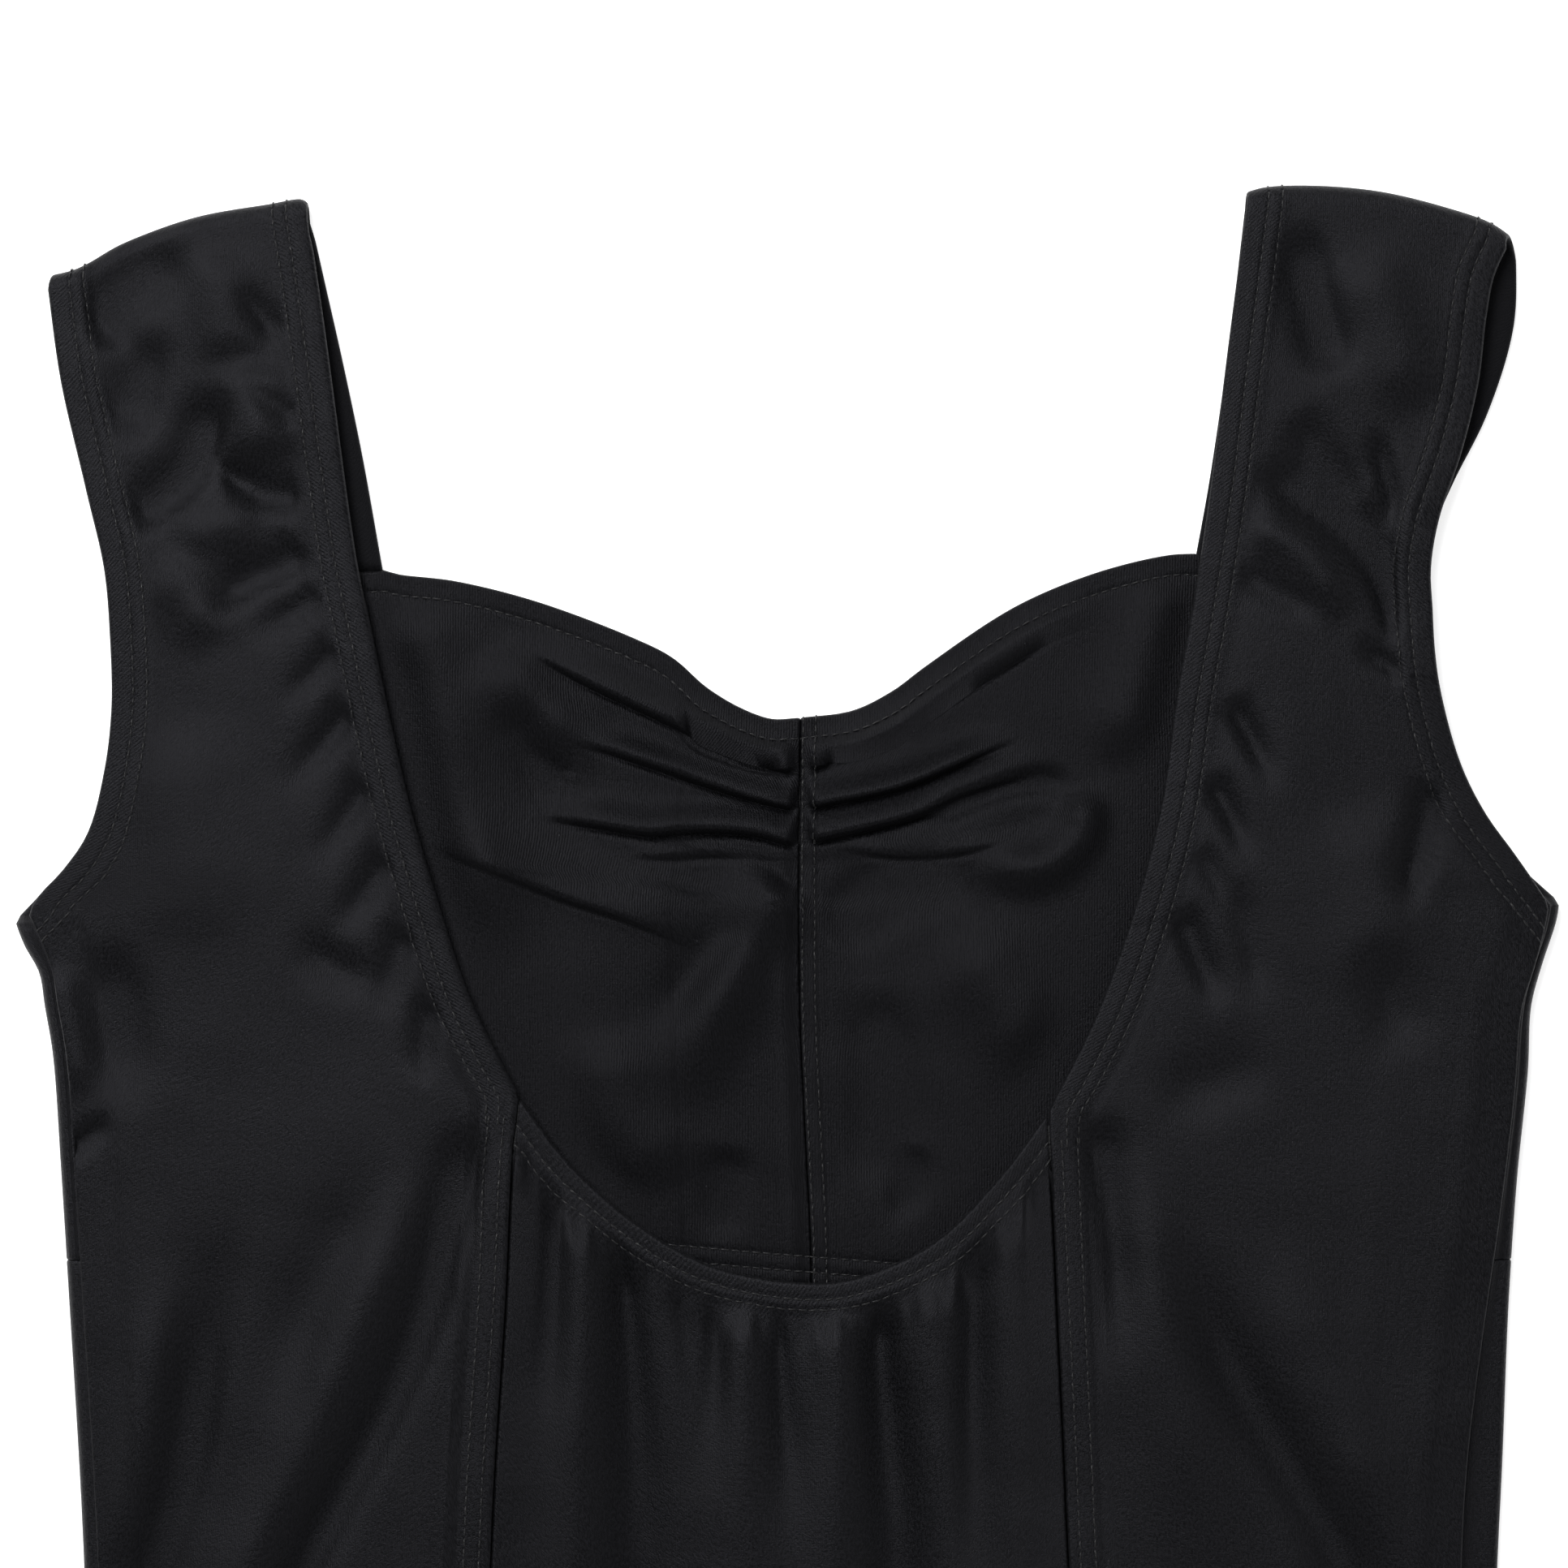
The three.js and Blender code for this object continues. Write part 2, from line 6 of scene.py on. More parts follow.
import bpy
import numpy as np
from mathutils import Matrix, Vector


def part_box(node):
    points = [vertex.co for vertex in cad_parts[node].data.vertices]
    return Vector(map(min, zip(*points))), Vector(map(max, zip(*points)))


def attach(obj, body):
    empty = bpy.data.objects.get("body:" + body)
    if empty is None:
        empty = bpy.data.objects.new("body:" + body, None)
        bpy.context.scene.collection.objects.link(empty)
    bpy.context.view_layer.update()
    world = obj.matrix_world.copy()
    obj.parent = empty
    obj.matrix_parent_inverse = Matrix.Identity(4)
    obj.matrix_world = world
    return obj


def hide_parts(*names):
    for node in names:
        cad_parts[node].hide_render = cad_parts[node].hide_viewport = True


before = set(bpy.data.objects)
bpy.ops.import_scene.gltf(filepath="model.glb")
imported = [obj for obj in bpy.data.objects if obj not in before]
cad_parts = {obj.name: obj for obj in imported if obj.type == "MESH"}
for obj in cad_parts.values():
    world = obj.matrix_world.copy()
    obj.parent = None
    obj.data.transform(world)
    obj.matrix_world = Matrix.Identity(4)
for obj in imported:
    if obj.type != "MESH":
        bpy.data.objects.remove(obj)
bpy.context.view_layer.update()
print("frame loaded")

metre = 0.001
topY = max(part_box(node)[1].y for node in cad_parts) / metre

cloth = dict(shell=0.6, lining=0.5, elastic=0.45, hemRoll=0.75, seamRoll=0.42, liningRoll=0.33)
layerHeight = dict(front=0.42, lining=2.8, back=6.6)   # middle of each layer above the table


# Lines and edges in the plan

def atDrop(drop):
    return topY - drop


def runAlong(points):
    step = np.linalg.norm(np.diff(points, axis=0), axis=1)
    return np.concatenate([[0], np.cumsum(step)])


def unit(vectors):
    return vectors / np.maximum(np.linalg.norm(vectors, axis=-1, keepdims=True), 1e-9)


def smoothLine(knots, spacing=1.0):
    # centripetal spline through the knots, respaced evenly
    knots = np.asarray(knots, float)
    ends = np.vstack([2 * knots[0] - knots[1], knots, 2 * knots[-1] - knots[-2]])
    t = np.concatenate([[0], np.cumsum(np.sqrt(np.linalg.norm(np.diff(ends, axis=0), axis=1)))])
    parts = []
    for i in range(1, len(knots)):
        p0, p1, p2, p3 = ends[i - 1:i + 3]
        t0, t1, t2, t3 = t[i - 1:i + 3]
        s = np.linspace(t1, t2, 24, endpoint=False)[:, None]
        a1 = (t1 - s) / (t1 - t0) * p0 + (s - t0) / (t1 - t0) * p1
        a2 = (t2 - s) / (t2 - t1) * p1 + (s - t1) / (t2 - t1) * p2
        a3 = (t3 - s) / (t3 - t2) * p2 + (s - t2) / (t3 - t2) * p3
        b1 = (t2 - s) / (t2 - t0) * a1 + (s - t0) / (t2 - t0) * a2
        b2 = (t3 - s) / (t3 - t1) * a2 + (s - t1) / (t3 - t1) * a3
        parts.append((t2 - s) / (t2 - t1) * b1 + (s - t1) / (t2 - t1) * b2)
    return respaced(np.vstack(parts + [knots[-1:]]), spacing)


def respaced(line, spacing):
    run = runAlong(line)
    at = np.linspace(0, run[-1], max(3, int(round(run[-1] / spacing)) + 1))
    return np.column_stack([np.interp(at, run, line[:, k]) for k in range(line.shape[1])])


def bezier(points, start=0.0, end=1.0, count=60):
    t = np.linspace(start, end, count)[:, None]
    p0, p1, p2, p3 = np.asarray(points, float)
    return (1 - t) ** 3 * p0 + 3 * t * (1 - t) ** 2 * p1 + 3 * t * t * (1 - t) * p2 + t ** 3 * p3


def smooth(low, high, value):
    t = np.clip((value - low) / (high - low), 0, 1)
    return t * t * (3 - 2 * t)


def lerp(a, b, t):
    return a + (b - a) * t


class Edge:
    # one side of a panel: x as a function of y where it runs down,
    # y as a function of x where it runs across
    def __init__(self, *runs, upright=True):
        line = np.vstack([smoothLine(run) for run in runs])
        line[:, 1] = atDrop(line[:, 1])
        key, value = (line[:, 1], line[:, 0]) if upright else (line[:, 0], line[:, 1])
        order = np.argsort(key)
        key, value = key[order], value[order]
        kept = np.concatenate([[True], np.diff(key) > 0.02])
        self.key, self.value = key[kept], value[kept]
        slope = np.gradient(self.value, self.key)
        lengthen = np.minimum(np.sqrt(1 + slope ** 2), 3.3)
        window = min(9, 2 * (len(lengthen) // 4) + 1)
        padded = np.pad(lengthen, window // 2, mode="edge")
        self.lengthen = np.convolve(padded, np.ones(window) / window, mode="valid")

    def at(self, key):
        inside = np.interp(key, self.key, self.value)
        n = min(6, len(self.key) - 1)
        low = np.clip((self.value[n] - self.value[0]) / (self.key[n] - self.key[0]), -1, 1)
        high = np.clip((self.value[-1] - self.value[-1 - n]) / (self.key[-1] - self.key[-1 - n]), -1, 1)
        return inside + low * np.minimum(key - self.key[0], 0) + high * np.maximum(key - self.key[-1], 0)

    def widen(self, key):
        return np.interp(key, self.key, self.lengthen)


# Folds and wrinkles
# Each is (line of (x, drop) knots, height, width on the left of its direction, width on its right, ends),
# where ends gives the share of the line over which it rises and dies away.

def reliefAt(x, y, folds):
    total = np.zeros_like(x)
    for knots, height, leftWidth, rightWidth, (rise, fall) in folds:
        line = smoothLine(knots, 2.5)
        line[:, 1] = atDrop(line[:, 1])
        reach = 2.6 * max(leftWidth, rightWidth)
        near = ((x > line[:, 0].min() - reach) & (x < line[:, 0].max() + reach)
                & (y > line[:, 1].min() - reach) & (y < line[:, 1].max() + reach))
        if not near.any():
            continue
        px, py = x[near], y[near]
        best = np.full(px.shape, 1e9)
        side = np.zeros_like(px)
        share = np.zeros_like(px)
        steps = len(line) - 1
        for i in range(steps):
            a, b = line[i], line[i + 1]
            d = b - a
            t = np.clip(((px - a[0]) * d[0] + (py - a[1]) * d[1]) / (d @ d), 0, 1)
            ox, oy = px - a[0] - t * d[0], py - a[1] - t * d[1]
            far = ox * ox + oy * oy
            closer = far < best
            best = np.where(closer, far, best)
            side = np.where(closer, d[0] * oy - d[1] * ox, side)
            share = np.where(closer, (i + t) / steps, share)
        width = np.where(side > 0, leftWidth, rightWidth)
        profile = np.exp(-best / width ** 2)
        ends = smooth(0, max(rise, 1e-3), share) if rise > 0 else 1.0
        ends = ends * (smooth(0, max(fall, 1e-3), 1 - share) if fall > 0 else 1.0)
        total[near] += height * profile * ends
    return total


def softNoise(x, y, seed, length):
    # a slow, repeatable ripple of a few sines
    draw = np.random.default_rng(seed)
    total = np.zeros_like(x)
    for _ in range(7):
        turn, phase, size = draw.uniform(0, np.pi), draw.uniform(0, 2 * np.pi), draw.uniform(0.6, 1.6)
        total += np.sin((x * np.cos(turn) + y * np.sin(turn)) * 2 * np.pi / (length * size) + phase)
    return total / 7


# Cloth panels as grids

bandEnd = 12.0
hemBand = [1.05, 1.5, 2.2, 3.0, 3.8, 4.5, 5.0, 5.4, 5.8, 6.4, 7.2, 8.0, 8.4, 8.8, 9.2, 9.8, 10.6, bandEnd]
seamBand = [0.62, 1.0, 1.6, 2.3, 3.0, 3.6, 4.6, 5.8, 6.6, 7.0, 7.4, 8.2, 9.4, bandEnd]


def spacings(near, far, count):
    # stations across a panel: distance from the near edge, distance from the far edge, share between them
    rows = [(d, 0, 0.0) for d in near[:-1]]
    start, end = near[-1], far[-1]
    rows += [(start, end, k / count) for k in range(count + 1)]
    rows += [(0, d, 1.0) for d in reversed(far[:-1])]
    return np.array(rows)


def spread(left, right, top, bottom, columns, rows):
    near, far, f = (columns[:, k][None, :] for k in range(3))
    above, below, g = (rows[:, k][:, None] for k in range(3))
    highest, lowest = top.value.mean(), bottom.value.mean()
    y = lerp(highest, lowest, g) + 0 * f
    x = 0 * y
    # the rows follow the top and bottom edges closely only when they are near them
    for _ in range(12):
        x = lerp(left.at(y) + left.widen(y) * near, right.at(y) - right.widen(y) * far, f)
        fromAbove = highest + (top.at(x) - top.widen(x) * above - highest) * (1 - g) ** 2
        fromBelow = lowest + (bottom.at(x) + bottom.widen(x) * below - lowest) * g ** 2
        y = lerp(fromAbove, fromBelow, g)
    return x, y


def normals(points):
    down = np.gradient(points, axis=0)
    across = np.gradient(points, axis=1)
    return unit(np.cross(across, down))


def edgeDirections(middle, out, grain):
    # which way the first column faces, on the cloth and in its grain
    away = middle[:, 0] - middle[:, 1]
    away -= (away * out[:, 0]).sum(1, keepdims=True) * out[:, 0]
    return unit(away), unit(grain[:, 0] - grain[:, 1])


class Panel:
    # middle: points on the cloth, out: which way its right side faces, depth: how far it is folded inwards
    def __init__(self, middle, facing, band, edgeRun):
        self.middle = middle
        self.out = normals(middle)
        self.out *= np.where(self.out[..., 2:] * facing < 0, -1, 1)
        self.depth = np.zeros(middle.shape[:2])
        step = np.linalg.norm(np.diff(middle, axis=1), axis=2)
        u = np.concatenate([np.zeros((len(middle), 1)), np.cumsum(step, axis=1)], axis=1)
        centre = middle.shape[1] // 2
        u += (middle[:, centre, 0] - u[:, centre])[:, None]
        step = np.linalg.norm(np.diff(middle, axis=0), axis=2)
        v = np.concatenate([np.zeros((1, middle.shape[1])), np.cumsum(step, axis=0)])
        self.grain = np.stack([u, v], axis=2)
        self.band = np.stack([edgeRun, band], axis=2)

    def fields(self):
        return [self.middle, self.out, self.depth, self.grain, self.band]

    def flip(self, side):
        def turnRound(a):
            if side in ("top", "bottom"):
                a = np.swapaxes(a, 0, 1)
            if side in ("right", "bottom"):
                a = a[:, ::-1]
            return a
        return [turnRound(a) for a in self.fields()]

    def restore(self, side, fields):
        def turnBack(a):
            if side in ("right", "bottom"):
                a = a[:, ::-1]
            if side in ("top", "bottom"):
                a = np.swapaxes(a, 0, 1)
            return np.ascontiguousarray(a)
        self.middle, self.out, self.depth, self.grain, self.band = [turnBack(a) for a in fields]

    def extend(self, side, fields, added):
        # the added columns go on outside the edge, the last of them outermost
        joined = []
        for k, field in enumerate(fields):
            extra = np.stack([item[k] for item in added[::-1]], axis=1)
            joined.append(np.concatenate([extra, field], axis=1))
        self.restore(side, joined)

    def keepFlat(self, **bands):
        # the panel as it is before its edges are turned, for tapes and stitches to follow
        self.base = [field.copy() for field in self.fields()]
        self.bands = bands

    def turnUnder(self, side, radius, width, steps=7, shares=(0.1, 0.35, 0.7, 1.0)):
        middle, out, depth, grain, band = fields = self.flip(side)
        rows = len(middle)
        radius = np.broadcast_to(np.asarray(radius, float), (rows,))
        width = np.broadcast_to(np.asarray(width, float), (rows,))
        away, outwardGrain = edgeDirections(middle, out, grain)
        lever = np.maximum(radius - depth[:, 0], 0.2 * radius)
        added = []
        for k in range(1, steps + 1):
            angle = math.pi * k / steps
            added.append((middle[:, 0] + away * (lever * math.sin(angle))[:, None], out[:, 0],
                          radius - lever * math.cos(angle),
                          grain[:, 0] + outwardGrain * (radius * angle)[:, None],
                          band[:, 0] - np.stack([0 * radius, radius * angle * 0.5], 1)))
        reach = min(24, middle.shape[1])
        step = np.linalg.norm(np.diff(middle[:, :reach], axis=1), axis=2)
        run = np.concatenate([np.zeros((rows, 1)), np.cumsum(step, axis=1)], axis=1)

        def inward(field, target):
            return np.array([[np.interp(target[r], run[r], field[r, :reach, k])
                              for k in range(field.shape[2])] for r in range(rows)])

        for share in shares:
            target = np.minimum(width * share, run[:, -1])
            added.append((inward(middle, target), inward(out, target),
                          np.maximum(2 * radius - inward(depth[..., None], target)[:, 0], 0.4 * radius),
                          grain[:, 0] + outwardGrain * (radius * math.pi + target)[:, None],
                          inward(band, target)))
        self.extend(side, fields, added)

    def runUnder(self, side, radius, width, below):
        # the seam allowance drops past the seam line and lies flat under the neighbouring panel
        middle, out, depth, grain, band = fields = self.flip(side)
        run = runAlong(middle[:, 0])
        share = np.maximum(smooth(8, 26, run) * smooth(8, 26, run[-1] - run), 0.1)
        away, outwardGrain = edgeDirections(middle, out, grain)
        path = [(radius * math.sin(a), radius * (1 - math.cos(a))) for a in (0.5, 1.0, math.pi / 2)]
        path += [(radius * (2 - math.cos(a)), below - radius * (1 - math.sin(a)))
                 for a in (0.0, 0.8, math.pi / 2)]
        path += [(lerp(2 * radius, width, k / 3), below) for k in (1, 2, 3)]
        added, length, last = [], 0.0, (0.0, 0.0)
        for reach, fall in path:
            length += math.dist(last, (reach, fall))
            last = (reach, fall)
            added.append((middle[:, 0] + away * (share * reach)[:, None], out[:, 0], depth[:, 0] + share * fall,
                          grain[:, 0] + outwardGrain * (share * length)[:, None], band[:, 0]))
        self.extend(side, fields, added)

    def points(self):
        return self.middle - self.out * self.depth[..., None]


def sheetMesh(name, points, thickness, outward, grain, band, material, turned=None):
    # a grid given its thickness, with rims, so that the mesh is closed
    rows, cols = points.shape[:2]
    n = normals(points)
    flat = (n * outward).sum(2)
    n = unit(n * np.sign(np.median(flat)))
    verts = np.concatenate([(points + n * thickness / 2).reshape(-1, 3),
                            (points - n * thickness / 2).reshape(-1, 3)]) * metre
    index = np.arange(rows * cols).reshape(rows, cols)
    upper = np.stack([index[:-1, :-1], index[1:, :-1], index[1:, 1:], index[:-1, 1:]], axis=2).reshape(-1, 4)
    lower = upper[:, ::-1] + rows * cols
    border = np.concatenate([index[0, :-1], index[:-1, -1], index[-1, :0:-1], index[:0:-1, 0]])
    after = np.roll(border, -1)
    rim = np.stack([border, after, after + rows * cols, border + rows * cols], axis=1)
    faces = np.concatenate([upper, lower, rim])
    a, b, c = verts[faces[:, 0]], verts[faces[:, 1]], verts[faces[:, 2]]
    d = verts[faces[:, 3]]
    volume = (np.einsum("ij,ij->i", a, np.cross(b, c)) + np.einsum("ij,ij->i", a, np.cross(c, d))).sum()
    if volume < 0:
        faces = faces[:, ::-1]
    mesh = bpy.data.meshes.new(name)
    mesh.vertices.add(len(verts))
    mesh.vertices.foreach_set("co", verts.astype(np.float32).ravel())
    mesh.loops.add(faces.size)
    mesh.loops.foreach_set("vertex_index", faces.astype(np.int32).ravel())
    mesh.polygons.add(len(faces))
    mesh.polygons.foreach_set("loop_start", np.arange(0, faces.size, 4, dtype=np.int32))
    mesh.update(calc_edges=True)
    for layerName, values in (("grain", grain), ("band", band)):
        flatValues = np.tile(values.reshape(-1, 2), (2, 1))[faces.ravel()]
        layer = mesh.uv_layers.new(name=layerName)
        layer.data.foreach_set("uv", flatValues.astype(np.float32).ravel())
    # the inside attribute marks the wrong side and the turned hems, where the knit shader darkens the colour as
    # painted shade
    if turned is not None:
        inside = np.concatenate([turned.ravel(), np.ones(rows * cols)])
        mesh.attributes.new("inside", "FLOAT", "POINT").data.foreach_set("value", inside.astype(np.float32))
    mesh.polygons.foreach_set("use_smooth", np.ones(len(faces), bool))
    mesh.materials.append(material)
    mesh.validate()
    piece = bpy.data.objects.new(name, mesh)
    bpy.context.scene.collection.objects.link(piece)
    halves = [np.cross(b - a, c - a), np.cross(c - a, d - a)]
    area = sum(np.linalg.norm(half, axis=1).sum() for half in halves) / 2
    low, high = verts[:, 2].min() / metre, verts[:, 2].max() / metre
    print(f"{name}: {2 * len(faces)} triangles, cloth {area / 2:.4f} square metres, "
          f"z {low:.2f} to {high:.2f} mm")
    return piece


# Shaders

class Signal:
    # wraps a shader socket so that maths on it reads as maths
    def __init__(self, shader, socket):
        self.shader = shader
        self.socket = socket

    def maths(self, operation, *values):
        return self.shader.node("ShaderNodeMath", dict(operation=operation), dict(enumerate(values)))

    def __add__(self, other):
        return self.maths("ADD", self, other)

    def __radd__(self, other):
        return self.maths("ADD", other, self)

    def __sub__(self, other):
        return self.maths("SUBTRACT", self, other)

    def __rsub__(self, other):
        return self.maths("SUBTRACT", other, self)

    def __mul__(self, other):
        return self.maths("MULTIPLY", self, other)

    def __rmul__(self, other):
        return self.maths("MULTIPLY", other, self)

    def __gt__(self, other):
        return self.maths("GREATER_THAN", self, other)

    def __lt__(self, other):
        return self.maths("LESS_THAN", self, other)

    def sine(self):
        return self.maths("SINE", self)

    def between(self, low, high):
        return self.shader.node("ShaderNodeMapRange", dict(interpolation_type="SMOOTHSTEP", clamp=True),
                                {"Value": self, "From Min": low, "From Max": high})


class Shader:
    def __init__(self, name):
        self.material = bpy.data.materials.new(name)
        self.material.use_nodes = True
        self.tree = self.material.node_tree
        self.tree.nodes.clear()

    def node(self, kind, settings=None, values=None, output=0):
        made = self.tree.nodes.new(kind)
        for key, value in (settings or {}).items():
            setattr(made, key, value)
        for key, value in (values or {}).items():
            socket = made.inputs[key]
            if isinstance(value, Signal):
                self.tree.links.new(value.socket, socket)
            else:
                socket.default_value = value
        return Signal(self, made.outputs[output]) if len(made.outputs) else None

    def parts(self, vector):
        first = self.node("ShaderNodeSeparateXYZ", None, {"Vector": vector})
        return [Signal(self, socket) for socket in first.socket.node.outputs]

    def vector(self, x, y, z=0.0):
        return self.node("ShaderNodeCombineXYZ", None, {"X": x, "Y": y, "Z": z})

    def noise(self, vector, scale, detail=2.0, roughness=0.5):
        return self.node("ShaderNodeTexNoise", dict(noise_dimensions="3D"),
                         {"Vector": vector, "Scale": scale, "Detail": detail, "Roughness": roughness})

    def tint(self, factor, low, high):
        # sockets 6, 7 and output 2 are the Mix node's colours
        low = low if isinstance(low, Signal) else (*low, 1)
        return self.node("ShaderNodeMix", dict(data_type="RGBA"), {0: factor, 6: low, 7: (*high, 1)}, 2)

    def bump(self, height, strength, distance, normal=None):
        values = {"Strength": strength, "Distance": distance, "Height": height}
        if normal is not None:
            values["Normal"] = normal
        return self.node("ShaderNodeBump", None, values)

    def finish(self, values):
        surface = self.node("ShaderNodeBsdfPrincipled", None, values)
        self.node("ShaderNodeOutputMaterial", None, {"Surface": surface})
        return self.material


# paintedGlint is the colour of the pale specks, which are painted glints of the knit's fibres
shellKnit = dict(
    dark=(0.0003, 0.0003, 0.0004), pale=(0.0078, 0.0079, 0.0092), ribShow=0.08, paintedGlint=(0.030, 0.030, 0.032),
    waleWidth=0.52, courseLength=0.62, hemTwill=0.85, hemEnd=9.6,
    roughness=0.43, specular=0.180, sheen=0.02, sheenRoughness=0.45,
    glint=(0.90, 0.90, 1.0),
)


def knitMaterial(name, knit, ribbed=False):
    s = Shader(name)
    cut = s.node("ShaderNodeUVMap", dict(uv_map="grain"))
    across, along, _ = s.parts(cut)
    edge = s.node("ShaderNodeUVMap", dict(uv_map="band"))
    edgeRun, edgeDistance, _ = s.parts(edge)
    place = s.node("ShaderNodeTexCoord", output="Object")
    wander = (s.noise(place, 90.0, 2.0) - 0.5) * 0.9
    wale = ((across + wander) * (2 * math.pi / knit["waleWidth"])).sine() * 0.5 + 0.5
    course = ((along + wander) * (2 * math.pi / knit["courseLength"])).sine() * 0.5 + 0.5
    # on turned hems the ribs slant across the band
    twill = ((edgeRun * 0.8 + edgeDistance * 0.6) * (2 * math.pi / knit["hemTwill"])).sine() * 0.5 + 0.5
    onHem = 1 - edgeDistance.between(knit["hemEnd"] - 0.3, knit["hemEnd"] + 0.3)
    loops = wale * (0.9 if ribbed else 0.6) + course * (0.1 if ribbed else 0.25)
    weave = loops * (1 - onHem) + twill * onHem
    stretchedGrain = s.vector(across * 1.6, along * 1.1)
    sparkle = s.noise(stretchedGrain, 1.0, 3.0, 0.78)
    mottle = s.noise(place, 42.0, 3.0)
    # pale specks scattered at random over the knit: painted glints of the fibres, laid over the colour
    paintedGlintSpots = s.node("ShaderNodeTexVoronoi", dict(feature="F1"),
                       {"Vector": place, "Scale": 210.0, "Randomness": 1.0}, "Distance")
    paintedGlintWhere = s.noise(place, 330.0, 0.0)
    paintedGlint = (paintedGlintSpots < 0.042) * (paintedGlintWhere > 0.60)
    shade = (sparkle.between(0.42, 0.60) * (0.90 - knit["ribShow"]) + weave * knit["ribShow"]
             + mottle * 0.10)
    color = s.tint(shade, knit["dark"], knit["pale"])
    color = s.tint(paintedGlint * 0.8, color, knit["paintedGlint"])
    # on the wrong side of the knit and on the turned hems, which lie in shade inside the garment, the colour is
    # darkened as painted shade; they are also rougher
    inside = s.node("ShaderNodeAttribute", dict(attribute_name="inside"), output="Fac")
    color = s.tint(inside * 0.6, color, knit["dark"])
    rough = knit["roughness"] + (sparkle - 0.5) * 0.60 + (mottle - 0.5) * 0.10 + inside * 0.3
    grainBump = s.bump(sparkle * 2.2 + weave * (0.55 if ribbed else 0.30), 0.57, 0.00022)
    softBump = s.bump(s.noise(place, 160.0, 2.0), 0.16, 0.0004, grainBump)
    return s.finish({
        "Base Color": color, "Roughness": rough, "Normal": softBump,
        "Specular IOR Level": knit["specular"], "Specular Tint": (*knit["glint"], 1),
        "Sheen Weight": knit["sheen"], "Sheen Roughness": knit["sheenRoughness"],
        "Sheen Tint": (0.92, 0.93, 1.0, 1),
    })


liningKnit = dict(shellKnit, dark=(0.0004, 0.0004, 0.0005), pale=(0.0071, 0.0071, 0.0083),
                  waleWidth=0.68, ribShow=0.26, roughness=0.47, specular=0.145, sheen=0.01)

hemElastic = dict(dark=(0.010, 0.010, 0.011), pale=(0.032, 0.032, 0.034), cordWidth=0.9, roughness=0.75)


def elasticMaterial(name, tape):
    s = Shader(name)
    across, along, _ = s.parts(s.node("ShaderNodeUVMap", dict(uv_map="grain")))
    cords = (across * (2 * math.pi / tape["cordWidth"])).sine() * 0.5 + 0.5
    wraps = (along * (2 * math.pi / 0.7)).sine() * 0.5 + 0.5
    weave = cords * 0.7 + wraps * 0.3
    return s.finish({
        "Base Color": s.tint(weave, tape["dark"], tape["pale"]), "Roughness": tape["roughness"],
        "Normal": s.bump(weave, 0.6, 0.0002), "Specular IOR Level": 0.3,
    })


sewingThread = dict(dark=(0.004, 0.004, 0.0045), pale=(0.014, 0.014, 0.0158), twist=0.0006, roughness=0.42)


def threadMaterial(name, thread):
    s = Shader(name)
    place = s.node("ShaderNodeTexCoord", output="Object")
    x, y, z = s.parts(place)
    plies = ((x + y * 0.8 + z) * (2 * math.pi / thread["twist"])).sine() * 0.5 + 0.5
    fuzz = s.noise(place, 2600.0, 2.0)
    return s.finish({
        "Base Color": s.tint(plies * 0.6 + fuzz * 0.5, thread["dark"], thread["pale"]),
        "Roughness": thread["roughness"], "Normal": s.bump(plies, 0.5, 0.00006),
        "Specular IOR Level": 0.4, "Sheen Weight": 0.1, "Sheen Roughness": 0.4,
    })


shellFinish = knitMaterial("shell_knit", shellKnit)
liningFinish = knitMaterial("lining_knit", liningKnit, ribbed=True)
elasticFinish = elasticMaterial("hem_elastic", hemElastic)
threadFinish = threadMaterial("sewing_thread", sewingThread)
print("finishes made")


# Outlines of the garment as it lies

sideOutline = dict(
    left=[(-190.4, 181.4), (-188, 187.4), (-184.4, 194), (-183, 202.4), (-181, 214.4), (-179, 242.4),
          (-177, 274.4), (-174, 324.4), (-172.6, 360), (-172.2, 395), (-174, 440), (-178, 480)],
    right=[(190.4, 176.8), (189.6, 181.4), (186, 192.4), (183.4, 202.4), (182.6, 218.4), (180, 244.4),
           (178, 274.4), (176.4, 314.4), (175, 345), (174, 395), (175.4, 440), (178, 480)],
)
sideSeam = dict(          # where the back panel ends, a little inside the fold
    left=[(-187.4, 179.4), (-184.4, 186), (-181.4, 194), (-180, 202.4), (-178, 214.4), (-176, 242.4),
          (-174, 274.4), (-171, 324.4), (-169.6, 360), (-169.2, 395), (-171, 440), (-175, 480)],
    right=[(188.2, 177.4), (186.8, 184), (184.4, 193), (181.4, 203), (179.6, 224.4), (176, 254.4),
           (172, 282.4), (168, 314.4), (166.4, 345), (166.6, 395), (170, 440), (175, 480)],
)
backArmhole = dict(
    left=[(-182.6, 22.4), (-179, 48.4), (-173, 74.4), (-168.4, 94.4), (-167, 110.4), (-166.6, 128.4),
          (-168.4, 144.4), (-172.4, 159.4), (-178.4, 168.4), (-184.4, 174.8), (-187.4, 179.4)],
    right=[(178.6, 13), (174.4, 22), (172.4, 32), (170.4, 48.4), (166, 66.4), (160.6, 82.4), (158.6, 94.4),
           (159, 104.4), (159.6, 114.4), (161, 124.4), (166, 142.4), (172, 154.4), (180, 165.4),
           (188.2, 177.4)],
)
